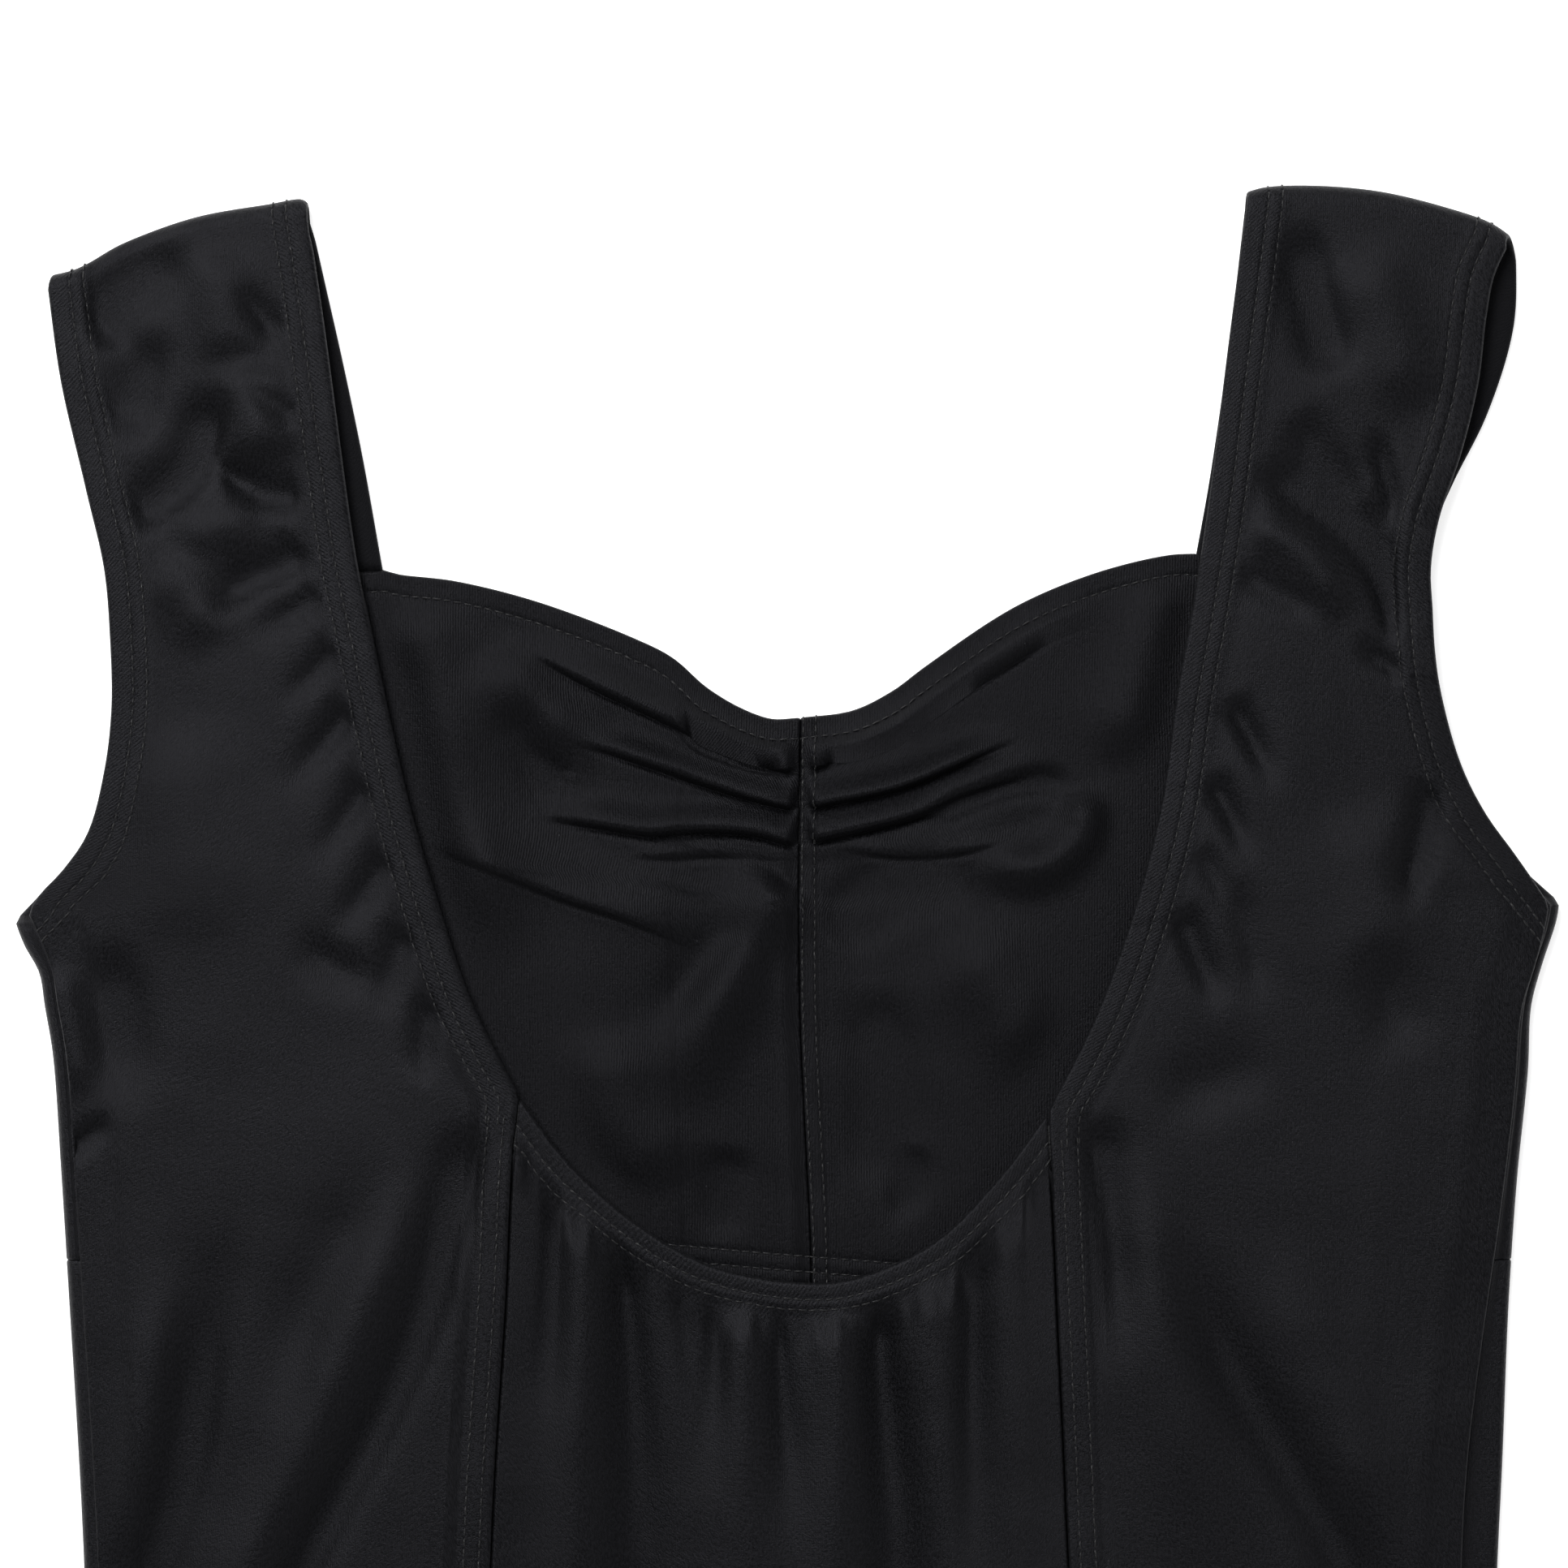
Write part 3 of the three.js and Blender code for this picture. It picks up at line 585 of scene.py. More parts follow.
scoopEdge = dict(
    left=[(-118.4, 5), (-114, 34.4), (-106, 92.4), (-102.6, 108.4), (-98, 130.4), (-93, 152.4), (-86, 176.4),
          (-78, 200.4), (-66, 224.4)],
    right=[(113.4, 2.4), (108, 44.4), (104, 76.4), (100, 102.4), (96, 124.4), (92, 152.4), (86, 176.4),
           (76, 204.4), (64, 228.4)],
    bottom=[(-66, 224.4), (-54, 240.4), (-36, 256.4), (-18, 266.4), (6, 270.4), (18, 268.8), (36, 260.4),
            (52, 244.4), (64, 228.4)],
)
shoulderFold = dict(
    left=[(-182.6, 22.6), (-175, 20.6), (-164, 14.4), (-146, 8), (-128, 4.8), (-119.6, 3.6), (-118.4, 4.6)],
    right=[(113.4, 1.8), (118, 0.6), (130, 0.2), (146, 1.6), (162, 5.4), (174, 9.6), (180, 14)],
)
frontStrapEdge = dict(
    leftOuter=[(-182.6, 22.4), (-176, 38), (-165, 62), (-157, 96)],
    leftInner=[(-118.4, 5), (-114.6, 22), (-110, 42.4), (-105, 66.4), (-100, 94.4)],
    rightOuter=[(180.4, 13), (179.6, 34.4), (173, 56.4), (164.8, 73), (160, 84.2), (157, 96)],
    rightInner=[(113.4, 2.4), (109, 40), (104.4, 72), (101, 91)],
)
frontArmhole = dict(
    left=[(-157, 94), (-156.5, 106), (-158, 118), (-163, 142), (-171, 160), (-181, 171.4), (-190.4, 181.4)],
    right=[(157, 92), (155.6, 105), (156, 118), (160, 138), (167.4, 153), (178, 165.4), (190.4, 176.8)],
)
neckline = [(-100, 94.4), (-96.6, 95.6), (-82, 97.4), (-62, 102.4), (-38, 111.4), (-28, 116.4), (-20, 123.4),
            (-12, 128.4), (-4, 131.4), (3, 131.2), (16, 129.4), (26, 124.4), (34, 118.4), (56, 103.8),
            (76, 95.4), (94, 91), (101, 90.6)]
centreSeam = [(3.3, 130), (3.1, 150), (2.9, 175), (3.2, 205), (4.4, 232), (5.7, 258), (6.1, 278)]
princessBack = dict(
    left=[(-66, 224.4), (-67.6, 242.4), (-69, 274.4), (-71.6, 314.4), (-73, 345), (-75, 395), (-84, 480),
          (-102, 540), (-120.2, 581)],
    right=[(64, 228.4), (65, 248), (66.6, 284.4), (68, 314.4), (69.4, 345), (73, 395), (84, 480),
           (102, 540), (120.2, 581)],
)
princessFront = [(66, 265), (71, 330), (73, 395), (84, 480), (96, 530)]
legBackHandles = [(178, 480), (156, 550), (92, 624), (40, 646)]
legFrontHandles = [(178, 480), (116, 520), (52, 566), (38, 628)]
gussetSize = dict(frontHalf=38, foldHalf=33, backHalf=40, frontDrop=628, backDrop=646,
                  foldDrop=686.8, turn=3.2)   # the fold starts at foldDrop and turns that much lower
signOf = dict(left=-1, right=1)
otherSide = dict(left="right", right="left")


def legCurve(handles, side, start=0.0, end=1.0):
    line = bezier(handles, start, end)
    return line * np.array([signOf[side], 1.0])


# Height of the back layer

backFolds = [
    # left strap
    ([(-144, 17), (-155, 22), (-163, 28), (-171, 41)], -2.0, 6, 9, (0.4, 0.2)),
    ([(-154, 34), (-159, 50), (-163, 66)], -1.7, 5, 8, (0.4, 0.4)),
    ([(-139.5, 48), (-141.5, 60), (-146, 71), (-153, 78), (-163, 86)], -2.3, 2.8, 7.5, (0.3, 0.25)),
    ([(-141, 66), (-135, 74), (-127, 77.5), (-119, 77.5)], -1.7, 5.0, 2.2, (0.35, 0.15)),
    ([(-118, 89), (-123, 94), (-131, 97.5), (-144, 106)], -1.8, 2.8, 5.5, (0.15, 0.4)),
    ([(-137, 26), (-130, 32), (-125, 40)], -1.2, 4, 3, (0.4, 0.3)),
    ([(-134, 48), (-127, 54), (-120, 58)], -0.9, 2.6, 2.6, (0.3, 0.2)),
    ([(-141, 14), (-139, 30), (-138, 46)], 1.4, 9, 7, (0.3, 0.3)),
    ([(-130, 42), (-131, 56), (-128, 70)], 1.7, 7, 8, (0.3, 0.3)),
    ([(-128, 84), (-140, 84), (-152, 90)], 1.3, 6, 6, (0.4, 0.4)),
    ([(-158, 94), (-149, 99), (-141, 116)], 1.2, 7, 7, (0.3, 0.4)),
    # drag lines into the scoop band, left
    ([(-115, 101), (-122, 106), (-134, 113)], -1.2, 2.4, 3.6, (0.1, 0.6)),
    ([(-111, 114), (-117, 121), (-127, 130)], -1.1, 2.2, 3.2, (0.1, 0.6)),
    ([(-107, 129), (-114, 138), (-125, 151)], -1.5, 2.6, 4.0, (0.1, 0.6)),
    ([(-103, 147), (-109, 157), (-118, 170)], -1.3, 2.4, 3.8, (0.1, 0.6)),
    ([(-98, 165), (-104, 175), (-114, 188)], -1.3, 2.6, 3.8, (0.1, 0.6)),
    ([(-93, 183), (-97, 193), (-101, 206)], -1.6, 3.0, 4.4, (0.15, 0.5)),
    ([(-87, 200), (-89, 210), (-90, 222)], -1.6, 2.4, 3.6, (0.15, 0.4)),
    ([(-124, 187), (-112, 192), (-102, 200)], -1.2, 5, 5, (0.4, 0.4)),
    # left side panel, long slants
    ([(-76.5, 229), (-79, 242), (-83, 257), (-89.5, 281), (-100, 305), (-118, 340), (-138, 392)],
     -2.5, 3.8, 8.5, (0.1, 0.35)),
    ([(-90, 236), (-101, 267), (-118, 311), (-134, 345), (-152, 400)], 1.8, 9, 8, (0.25, 0.3)),
    ([(-136, 250), (-143, 287), (-147, 312), (-156, 345), (-163, 398)], -2.3, 5.5, 9, (0.35, 0.3)),
    ([(-96, 238), (-110, 262), (-120, 282), (-126, 310)], -1.1, 6, 9, (0.35, 0.4)),
    ([(-152, 262), (-159, 310), (-165, 360)], 1.2, 6, 6, (0.3, 0.4)),
    ([(-168, 184), (-165, 203), (-162, 232)], -1.8, 7, 7, (0.35, 0.5)),
    ([(-180, 192), (-176, 208), (-173, 226)], 1.0, 4, 5, (0.2, 0.3)),
    ([(-177, 238), (-172, 234), (-166, 229)], -1.3, 1.8, 2.4, (0.1, 0.5)),
    ([(-152, 130), (-148, 160), (-146, 190)], 1.1, 14, 12, (0.3, 0.4)),
    # right strap
    ([(127, 8), (131, 28), (137, 48)], -2.1, 4.5, 7.5, (0.3, 0.25)),
    ([(140, 14), (149, 36), (154, 58)], 1.4, 8, 8, (0.3, 0.3)),
    ([(114, 70), (125, 76), (135, 83), (146, 96), (152, 115)], -3.0, 8.0, 3.2, (0.25, 0.2)),
    ([(124, 56), (131, 66), (140, 80)], -1.3, 6, 5, (0.3, 0.3)),
    ([(144, 60), (148, 72), (151, 86)], -1.4, 2.6, 3, (0.3, 0.3)),
    ([(113, 82), (126, 90), (139, 106)], 1.5, 4, 5, (0.2, 0.3)),
    ([(152, 121), (146, 117), (138, 114)], -1.4, 2, 2.6, (0.1, 0.5)),
    ([(111, 95), (122, 101), (134, 106)], -0.9, 3, 3, (0.2, 0.4)),
    # drag lines into the scoop band, right
    ([(109, 127), (114, 136), (122, 151)], -1.5, 3.6, 2.6, (0.12, 0.6)),
    ([(104, 146), (109, 155), (115, 169)], -1.5, 3.6, 2.6, (0.12, 0.6)),
    ([(101, 163), (105, 170), (109, 181)], -0.9, 3.0, 2.4, (0.2, 0.6)),
    ([(96, 179), (101, 190), (108, 205)], -1.8, 4.2, 2.6, (0.12, 0.5)),
    ([(110, 170), (114, 186), (117, 204)], -0.9, 4, 4, (0.3, 0.4)),
    # right side panel
    ([(161, 148), (157, 162), (151, 180)], -2.4, 2.4, 4.8, (0.05, 0.4)),
    ([(145, 184), (149, 200), (152, 218)], -1.3, 8, 7, (0.4, 0.4)),
    ([(124, 216), (104, 222), (88, 228)], -1.0, 7, 8, (0.4, 0.4)),
    ([(75, 228), (78, 243), (81, 262), (82, 296)], -1.7, 6.5, 4.0, (0.15, 0.5)),
    ([(84, 236), (94, 290), (106, 350)], 1.2, 8, 8, (0.25, 0.4)),
    ([(94, 250), (107, 286), (123, 314), (138, 341), (148, 398)], -2.0, 7, 7, (0.3, 0.35)),
    ([(116, 256), (136, 304), (152, 350)], 1.0, 9, 9, (0.3, 0.4)),
    ([(140, 150), (146, 175), (140, 205)], 1.2, 12, 12, (0.3, 0.4)),
    # lower body, softer
    ([(-60, 430), (-40, 480), (-10, 520)], 1.2, 16, 16, (0.3, 0.3)),
    ([(60, 440), (36, 500), (8, 540)], 1.1, 16, 16, (0.3, 0.3)),
    ([(-130, 430), (-110, 480), (-90, 540)], -1.2, 12, 12, (0.3, 0.3)),
    ([(130, 440), (112, 490), (92, 545)], -1.1, 12, 12, (0.3, 0.3)),
]

# gathers below the scoop: x at the hem, x at the far end, height, width at the hem, how far down it runs
gathers = [
    (-57, -60, -1.3, 2.6, 70), (-50, -52, 1.8, 4.4, 200), (-40, -32, -2.3, 4.4, 250),
    (-26, -24, -0.8, 2.2, 40), (-17.5, -18, -1.2, 2.8, 60), (-11, -10, 1.6, 5.0, 220),
    (-2.5, 1, -1.1, 2.6, 70), (12, 12, 1.7, 5.0, 210), (22, 37, -2.5, 4.4, 240),
    (34, 46, 0.9, 4.6, 150), (45, 49, -1.4, 3.2, 120), (54, 57, 1.0, 3.6, 160),
]


def gatherRelief(x, away):
    total = np.zeros_like(x)
    for start, end, height, width, length in gathers:
        t = np.clip(away / length, 0, 1.4)
        line = lerp(start, end, t) + 0.5 * np.sin(away / 13.0 + start)
        spreadOut = width * (1 + 1.15 * smooth(0, 90, away))
        fade = smooth(5.5, 17, away) * (1 - smooth(0.3, 1.0, away / length))
        total += height * fade * np.exp(-((x - line) / spreadOut) ** 2)
    # fine puckers where the cloth is eased on to the hem
    puckers = np.sin(x * 2 * np.pi / 6.3 + 1.5 * np.sin(x / 8.0)) + 0.6 * np.sin(x * 2 * np.pi / 4.1 + 2.0)
    return 1.85 * total + 0.34 * puckers * np.exp(-((away - 12.5) / 4.5) ** 2)


def backHeight(x, y, free=1.0):
    # free is how far the cloth can fold: little of it inside a stitched hem
    drop = topY - y
    z = layerHeight["back"] + 0 * x
    z = z + 1.0 * smooth(190, 300, drop) * np.clip(1 - (x / 190) ** 4, 0, 1)
    z = z - 1.2 * smooth(470, 640, drop)
    z = z + 0.5 * softNoise(x, y, 5, 90) * smooth(0, 40, drop)
    z = z + (0.34 * softNoise(x, y, 21, 40) + 0.14 * softNoise(x, y, 8, 21)) * smooth(4, 24, drop)
    z = z + reliefAt(x, y, backFolds) * 1.9 * free
    # a deep fold comes to rest on the layer below
    return np.where(z < 4.6, 3.6 + np.exp(np.minimum(z - 4.6, 0)), z)


# Height of the lining inside the bust
# pleats have a soft upper flank and fall steeply into the valley below them

liningPleats = [
    ([(-66, 113), (-50, 121.6), (-31.8, 130.2), (-20.2, 135.8), (-8.8, 141), (2.4, 144)], 3.2, 5.5, 1.3,
     (0.35, 0.06)),
    ([(-54, 136), (-43.2, 139), (-34, 142), (-22, 146.2), (-10, 150), (2.4, 153)], 2.4, 4.0, 1.1, (0.3, 0.05)),
    ([(-62, 155), (-46, 157.2), (-34, 159), (-26, 158.4), (-17.4, 158.2), (-8, 159), (2.4, 162)], 2.6, 5.0, 1.1,
     (0.3, 0.05)),
    ([(-40, 165), (-28.8, 165), (-18.6, 164.4), (-8, 165.2)], 0.8, 3, 0.9, (0.4, 0.4)),
    ([(-92, 160), (-78, 166), (-66, 170.8), (-54.6, 175.4), (-42, 179.4), (-31.8, 183.4), (-20, 189)],
     2.2, 9, 1.8, (0.25, 0.3)),
    ([(80, 101), (72, 106), (58, 115), (42, 125), (24, 135), (5, 143.4)], 3.2, 1.3, 5.0, (0.3, 0.05)),
    ([(58, 135), (44, 141), (28, 147.6), (5, 152.6)], 2.4, 1.1, 4.0, (0.35, 0.05)),
    ([(66, 146), (56, 146.2), (44, 149.6), (30, 155), (5, 161)], 2.6, 1.1, 5.0, (0.3, 0.05)),
    ([(56, 160), (44, 163.6), (32, 165.2), (12, 162.6)], 1.1, 0.9, 4, (0.4, 0.3)),
]
liningFolds = [
    ([(-98, 100), (-88, 126), (-82, 160), (-70, 196)], 1.6, 12, 12, (0.15, 0.3)),
    ([(-100, 112), (-96, 140), (-88, 172)], -1.4, 7, 7, (0.2, 0.3)),
    ([(-74, 112), (-58, 132), (-42, 134)], 1.5, 7, 9, (0.3, 0.4)),
    ([(-70, 126), (-56, 150), (-52, 150)], -1.0, 6, 6, (0.3, 0.3)),
    ([(1, 171), (-8.8, 184), (-17.4, 203.6), (-28, 232)], 2.0, 7, 9, (0.1, 0.5)),
    ([(-6, 176), (-24, 196), (-34, 212)], -1.0, 5, 6, (0.3, 0.4)),
    ([(48, 170.4), (26, 174.4), (10, 188)], -1.7, 6, 7, (0.3, 0.3)),
    ([(70, 148), (73, 158), (62, 168), (44, 166)], 1.9, 5, 6, (0.2, 0.4)),
    ([(32, 156.4), (56, 147.4), (72, 147)], -1.2, 3, 3, (0.3, 0.3)),
    ([(98, 96), (90, 120), (82, 146)], 1.5, 10, 9, (0.15, 0.3)),
    ([(40, 182), (56, 206), (58, 226)], 1.3, 10, 10, (0.3, 0.4)),
    ([(22, 196), (24, 226), (20, 250)], -1.1, 7, 7, (0.3, 0.3)),
    ([(-44, 206), (-40, 228), (-26, 248)], 1.0, 9, 9, (0.3, 0.3)),
    ([(-14, 236), (-16, 250), (-16, 262)], -0.9, 5, 5, (0.3, 0.2)),
    ([(30, 236), (30, 252), (29, 262)], -1.2, 4, 4, (0.3, 0.1)),
]


def liningHeight(x, y):
    drop = topY - y
    z = layerHeight["lining"] + 0.35 * softNoise(x, y, 11, 70)
    creases = [([(px, drop + 1.5) for px, drop in knots], -0.42 * height, 0.9, 0.9, ends)
               for knots, height, _, _, ends in liningPleats]
    relief = reliefAt(x, y, liningPleats + creases) * 1.65 + reliefAt(x, y, liningFolds) * 2.8
    relief = relief + 0.5 * softNoise(x, y, 31, 30)
    # everything settles where the scoop hem lies over it
    scoopHalf = np.interp(drop, [0, 92, 152, 200, 240, 262], [112, 100, 88, 72, 50, 22])
    inside = smooth(-4, 12, scoopHalf - np.abs(x + 1))
    band = smooth(2, 12, drop - np.interp(x, [k[0] for k in neckline], [k[1] for k in neckline]))
    foot = 1 - smooth(250, 262, drop)
    z = z + relief * inside * lerp(0.25, 1, band) * lerp(0.2, 1, foot) * 0.9
    return np.where(z < 1.9, 1.3 + 0.6 * np.exp(np.minimum(z - 1.9, 0) / 0.6), z)


# Back panels

farAway = 20.0   # stands for any distance past the bands


def fromStart(stations):
    return np.where(stations[:, 2] == 0.0, stations[:, 0], farAway)


def fromEnd(stations):
    return np.where(stations[:, 2] == 1.0, stations[:, 1], farAway)


def groove(distance, row, deep=0.22):
    # the dent that a row of stitches pulls into the cloth
    return deep * np.exp(-((distance - row) / 0.5) ** 2)


def hemProfile(distance, scale):
    raised = 0.35 * (1 - smooth(8.6 * scale, 11 * scale, distance))
    for row in (5.4, 8.8):
        raised = raised - groove(distance, row * scale, 0.24)
    return raised


def topstitchProfile(distance):
    raised = 0.45 * (1 - smooth(7.0, 9.0, distance))
    for row in (3.0, 6.8):
        raised = raised - groove(distance, row)
    return raised


def hemScaleAt(y):
    # the scoop hem rolls a little under towards its lowest point
    return lerp(1.0, 0.76, smooth(190, 262, topY - y))


class Plain:
    # an edge that is one level line
    def __init__(self, drop):
        self.value = np.array([atDrop(drop)])

    def at(self, key):
        return self.value[0] + 0 * key

    def widen(self, key):
        return 1 + 0 * key


def beyondTip(side, x, y):
    # distance from the line of the armhole's last stretch, run on straight past the tip
    (ax, ad), (bx, bd) = backArmhole[side][-3], backArmhole[side][-1]
    heading = unit(np.array([bx - ax, ad - bd]))
    return np.abs((x - bx) * heading[1] - (y - atDrop(bd)) * heading[0])


backSide = dict(across=50, backRows=215, frontRows=40, shoulderSteps=14, foldReach=3.4,
                hemReturn=9.2, seamReturn=6.4, frontDrop=95.2)


def backSidePanel(side):
    size = backSide
    inner = Edge(scoopEdge[side], princessBack[side])
    outer = Edge(backArmhole[side], sideSeam[side])
    outline = Edge(shoulderFold[side], upright=False)
    leg = Edge(legCurve(legBackHandles, side, 0, 0.5), upright=False)
    frontInner = Edge(frontStrapEdge[side + "Inner"])
    frontOuter = Edge(frontStrapEdge[side + "Outer"])
    left, right = (outer, inner) if side == "left" else (inner, outer)
    frontLeft, frontRight = (frontOuter, frontInner) if side == "left" else (frontInner, frontOuter)
    columns = spacings(hemBand, hemBand, size["across"])
    reach = size["foldReach"]
    backRows = [(reach, 0, 0.0)]
    backRows += [(reach, bandEnd, k / size["backRows"]) for k in range(1, size["backRows"] + 1)]
    backRows = np.array(backRows + [(0, d, 1.0) for d in reversed(hemBand[:-1])])
    x, y = spread(left, right, outline, leg, columns, backRows)
    frontRows = np.array([(reach, 0.5, k / size["frontRows"]) for k in range(size["frontRows"] + 1)])
    fx, fy = spread(frontLeft, frontRight, outline, Plain(size["frontDrop"]), columns, frontRows)
    fromInner, fromOuter = fromEnd(columns)[None, :], fromStart(columns)[None, :]
    if side == "right":
        fromInner, fromOuter = fromOuter, fromInner
    fromLeg = fromEnd(backRows)[:, None]
    junction = atDrop(scoopEdge[side][-1][1])
    tip = atDrop(backArmhole[side][-1][1])
    scoopShare = smooth(junction - 2, junction + 3, y)
    armholeShare = smooth(tip - 2, tip + 4, y)
    freeInner = lerp(smooth(2, 6, fromInner), smooth(7, bandEnd, fromInner), scoopShare)
    freeOuter = lerp(1.0, smooth(7, bandEnd, fromOuter), armholeShare)
    z = backHeight(x, y, 0.22 + 0.78 * freeInner * freeOuter)
    z = z + scoopShare * hemProfile(fromInner, hemScaleAt(y)) + (1 - scoopShare) * topstitchProfile(fromInner)
    z = z + armholeShare * hemProfile(fromOuter, 1.0) + hemProfile(fromLeg, 1.0)
    pastTip = 1 - smooth(8.6, 11, beyondTip(side, x, y))
    z = z + (1 - armholeShare) * 0.35 * pastTip * smooth(-20, -14, y - tip)
    back = np.stack([x, y, z], axis=2)
    front = np.stack([fx, fy, layerHeight["front"] + 0 * fx], axis=2)[::-1]
    # over the shoulder, as half an ellipse between the two layers
    turn = []
    start, end = front[-1], back[0]
    for k in range(1, size["shoulderSteps"]):
        phi = -math.pi / 2 + math.pi * k / size["shoulderSteps"]
        share = (math.sin(phi) + 1) / 2
        point = lerp(start, end, share)
        point[:, 1] += reach * outline.widen(point[:, 0]) * math.cos(phi)
        turn.append(point)
    middle = np.concatenate([front, np.stack(turn), back])
    rowsFront = len(front) + len(turn)
    hemInner = np.concatenate([np.ones(rowsFront), scoopShare[:, 0]])
    hemOuter = np.concatenate([np.ones(rowsFront), armholeShare[:, 0]])
    distance = np.minimum(np.where(hemInner[:, None] > 0.5, fromInner, farAway),
                          np.where(hemOuter[:, None] > 0.5, fromOuter, farAway))
    distance = np.minimum(distance, np.concatenate([np.full((rowsFront, 1), farAway), fromLeg]))
    run = runAlong(middle[:, len(columns) // 2])[:, None] + 0 * distance
    p = Panel(middle, 1, distance, run)
    # keep the right side outwards all the way over the shoulder
    p.out = normals(middle)
    if p.out[-40:, :, 2].mean() < 0:
        p.out = -p.out
    p.junctionRow = rowsFront + int((y[:, len(columns) // 2] > junction).sum())
    p.tipRow = rowsFront + int((y[:, len(columns) // 2] > tip + 1).sum())
    p.keepFlat(left=hemBand, right=hemBand, bottom=hemBand)
    for edge, share in ((otherSide[side], hemInner), (side, hemOuter)):
        p.turnUnder(edge, lerp(cloth["seamRoll"], cloth["hemRoll"], share),
                    lerp(size["seamReturn"], size["hemReturn"], share))
    p.turnUnder("top", cloth["seamRoll"], size["seamReturn"])
    p.turnUnder("bottom", cloth["hemRoll"], size["hemReturn"])
    return p


def pieceFrom(name, panel, thickness, material):
    # how far the cloth is turned under, which sets where the knit shader paints shade
    turned = smooth(0.3, 0.6, panel.depth)
    return sheetMesh(name, panel.points(), thickness, panel.out, panel.grain, panel.band, material, turned)


backCenter = dict(across=96, rows=190, seamReturn=6.4, hemReturn=9.2, below=1.75)


def backCenterPanel():
    size = backCenter
    left, right = Edge(princessBack["left"]), Edge(princessBack["right"])
    top = Edge(scoopEdge["bottom"], upright=False)
    gussetLine = [(-40, 646), (-14, 646), (14, 646), (40, 646)]
    bottom = Edge(legCurve(legBackHandles, "left", 0.5, 1), gussetLine,
                  legCurve(legBackHandles, "right", 0.5, 1)[::-1], upright=False)
    columns = spacings(seamBand, seamBand, size["across"])
    rows = spacings(hemBand, hemBand, size["rows"])
    x, y = spread(left, right, top, bottom, columns, rows)
    fromTop, fromFoot = fromStart(rows)[:, None], fromEnd(rows)[:, None]
    onLeg = smooth(38, 46, np.abs(x))
    z = backHeight(x, y) + hemProfile(fromTop, hemScaleAt(y)) + onLeg * hemProfile(fromFoot, 1.0)
    z = z + gatherRelief(x, (top.at(x) - y) / top.widen(x) ** 0.5)
    middle = np.stack([x, y, z], axis=2)
    distance = np.minimum(fromTop + 0 * x, np.where(onLeg > 0.5, fromFoot, farAway))
    p = Panel(middle, 1, distance, x)
    p.keepFlat(left=seamBand, right=seamBand, top=hemBand, bottom=hemBand)
    for edge in ("left", "right"):
        p.runUnder(edge, cloth["seamRoll"], size["seamReturn"], size["below"])
    for edge in ("top", "bottom"):
        p.turnUnder(edge, cloth["hemRoll"], size["hemReturn"])
    return p


# Front panels: they turn round the side fold to meet the back at the side seam

frontHemBand = [1.05, 1.6, 2.6, 4.0, 6.0, 9.0, bandEnd]
frontSeamBand = [0.62, 2.0, 5.0, bandEnd]
frontBase = dict(across=34, foldSteps=9, stripSteps=5, seamReturn=5.0, hemReturn=9.0)
foldReach = dict(left=2.4, right=1.5)                # how far in the side fold's turn reaches
foldLift = dict(left=(5.8, 6.0), right=(5.0, 3.4))   # strip height on the back, bust then body


def stripHeight(side, y):
    drop = topY - y
    bust, body = foldLift[side]
    return lerp(bust, body, smooth(225, 285, drop)) - 0.8 * smooth(430, 520, drop)


def frontFlat(side):
    return [foldReach[side], 4.0, 6.5, 9.0, bandEnd]


def wrapColumns(side, outline, seam, y, zStart, hemShare):
    # from the flat front layer round the fold and in along the back, outermost last
    sign = signOf[side]
    lowered = smooth(0.0, 0.35, hemShare)
    hemShare = smooth(0.3, 1.0, hemShare)
    zEnd = lerp(stripHeight(side, y), zStart + 1.5, lowered)
    reachX = lerp(foldReach[side], cloth["hemRoll"], lowered)
    edgeX = outline.at(y)
    columns = []
    for k in range(1, frontBase["foldSteps"] + 1):
        phi = -math.pi / 2 + math.pi * k / frontBase["foldSteps"]
        columns.append((edgeX - sign * reachX * (1 - math.cos(phi)),
                        lerp(zStart, zEnd, (math.sin(phi) + 1) / 2)))
    inwardEnd = lerp(np.abs(edgeX - seam.at(y)) + 0.1, 9.0, hemShare)
    for k in range(1, frontBase["stripSteps"] + 1):
        t = k / frontBase["stripSteps"]
        depth = lerp(reachX, np.maximum(inwardEnd, reachX + 0.6), t)
        rise = (1 - hemShare) * 0.9 * t ** 3 * (1 if side == "right" else 0.2)
        columns.append((edgeX - sign * depth, zEnd + rise))
    return columns


def frontPanel(side, innerEdge, outline, seam, top, bottom, rows, across, tip=None):
    flat = frontFlat(side)
    columns = spacings(flat, seamBand, across) if side == "left" else spacings(seamBand, flat, across)
    left, right = (outline, innerEdge) if side == "left" else (innerEdge, outline)
    x, y = spread(left, right, top, bottom, columns, rows)
    z = layerHeight["front"] + 0 * x
    edgeCol = 0 if side == "left" else -1
    edgeY = y[:, edgeCol]
    hemShare = smooth(tip - 3, tip + 9, edgeY) if tip is not None else 0 * edgeY
    extra = wrapColumns(side, outline, seam, edgeY, z[:, edgeCol], hemShare)
    added = [np.stack([ex, edgeY, ez], axis=1) for ex, ez in extra]
    middle = np.stack([x, y, z], axis=2)
    added = np.stack(added[::-1] if side == "left" else added, axis=1)
    middle = np.concatenate([added, middle] if side == "left" else [middle, added], axis=1)
    return middle, hemShare, len(extra)


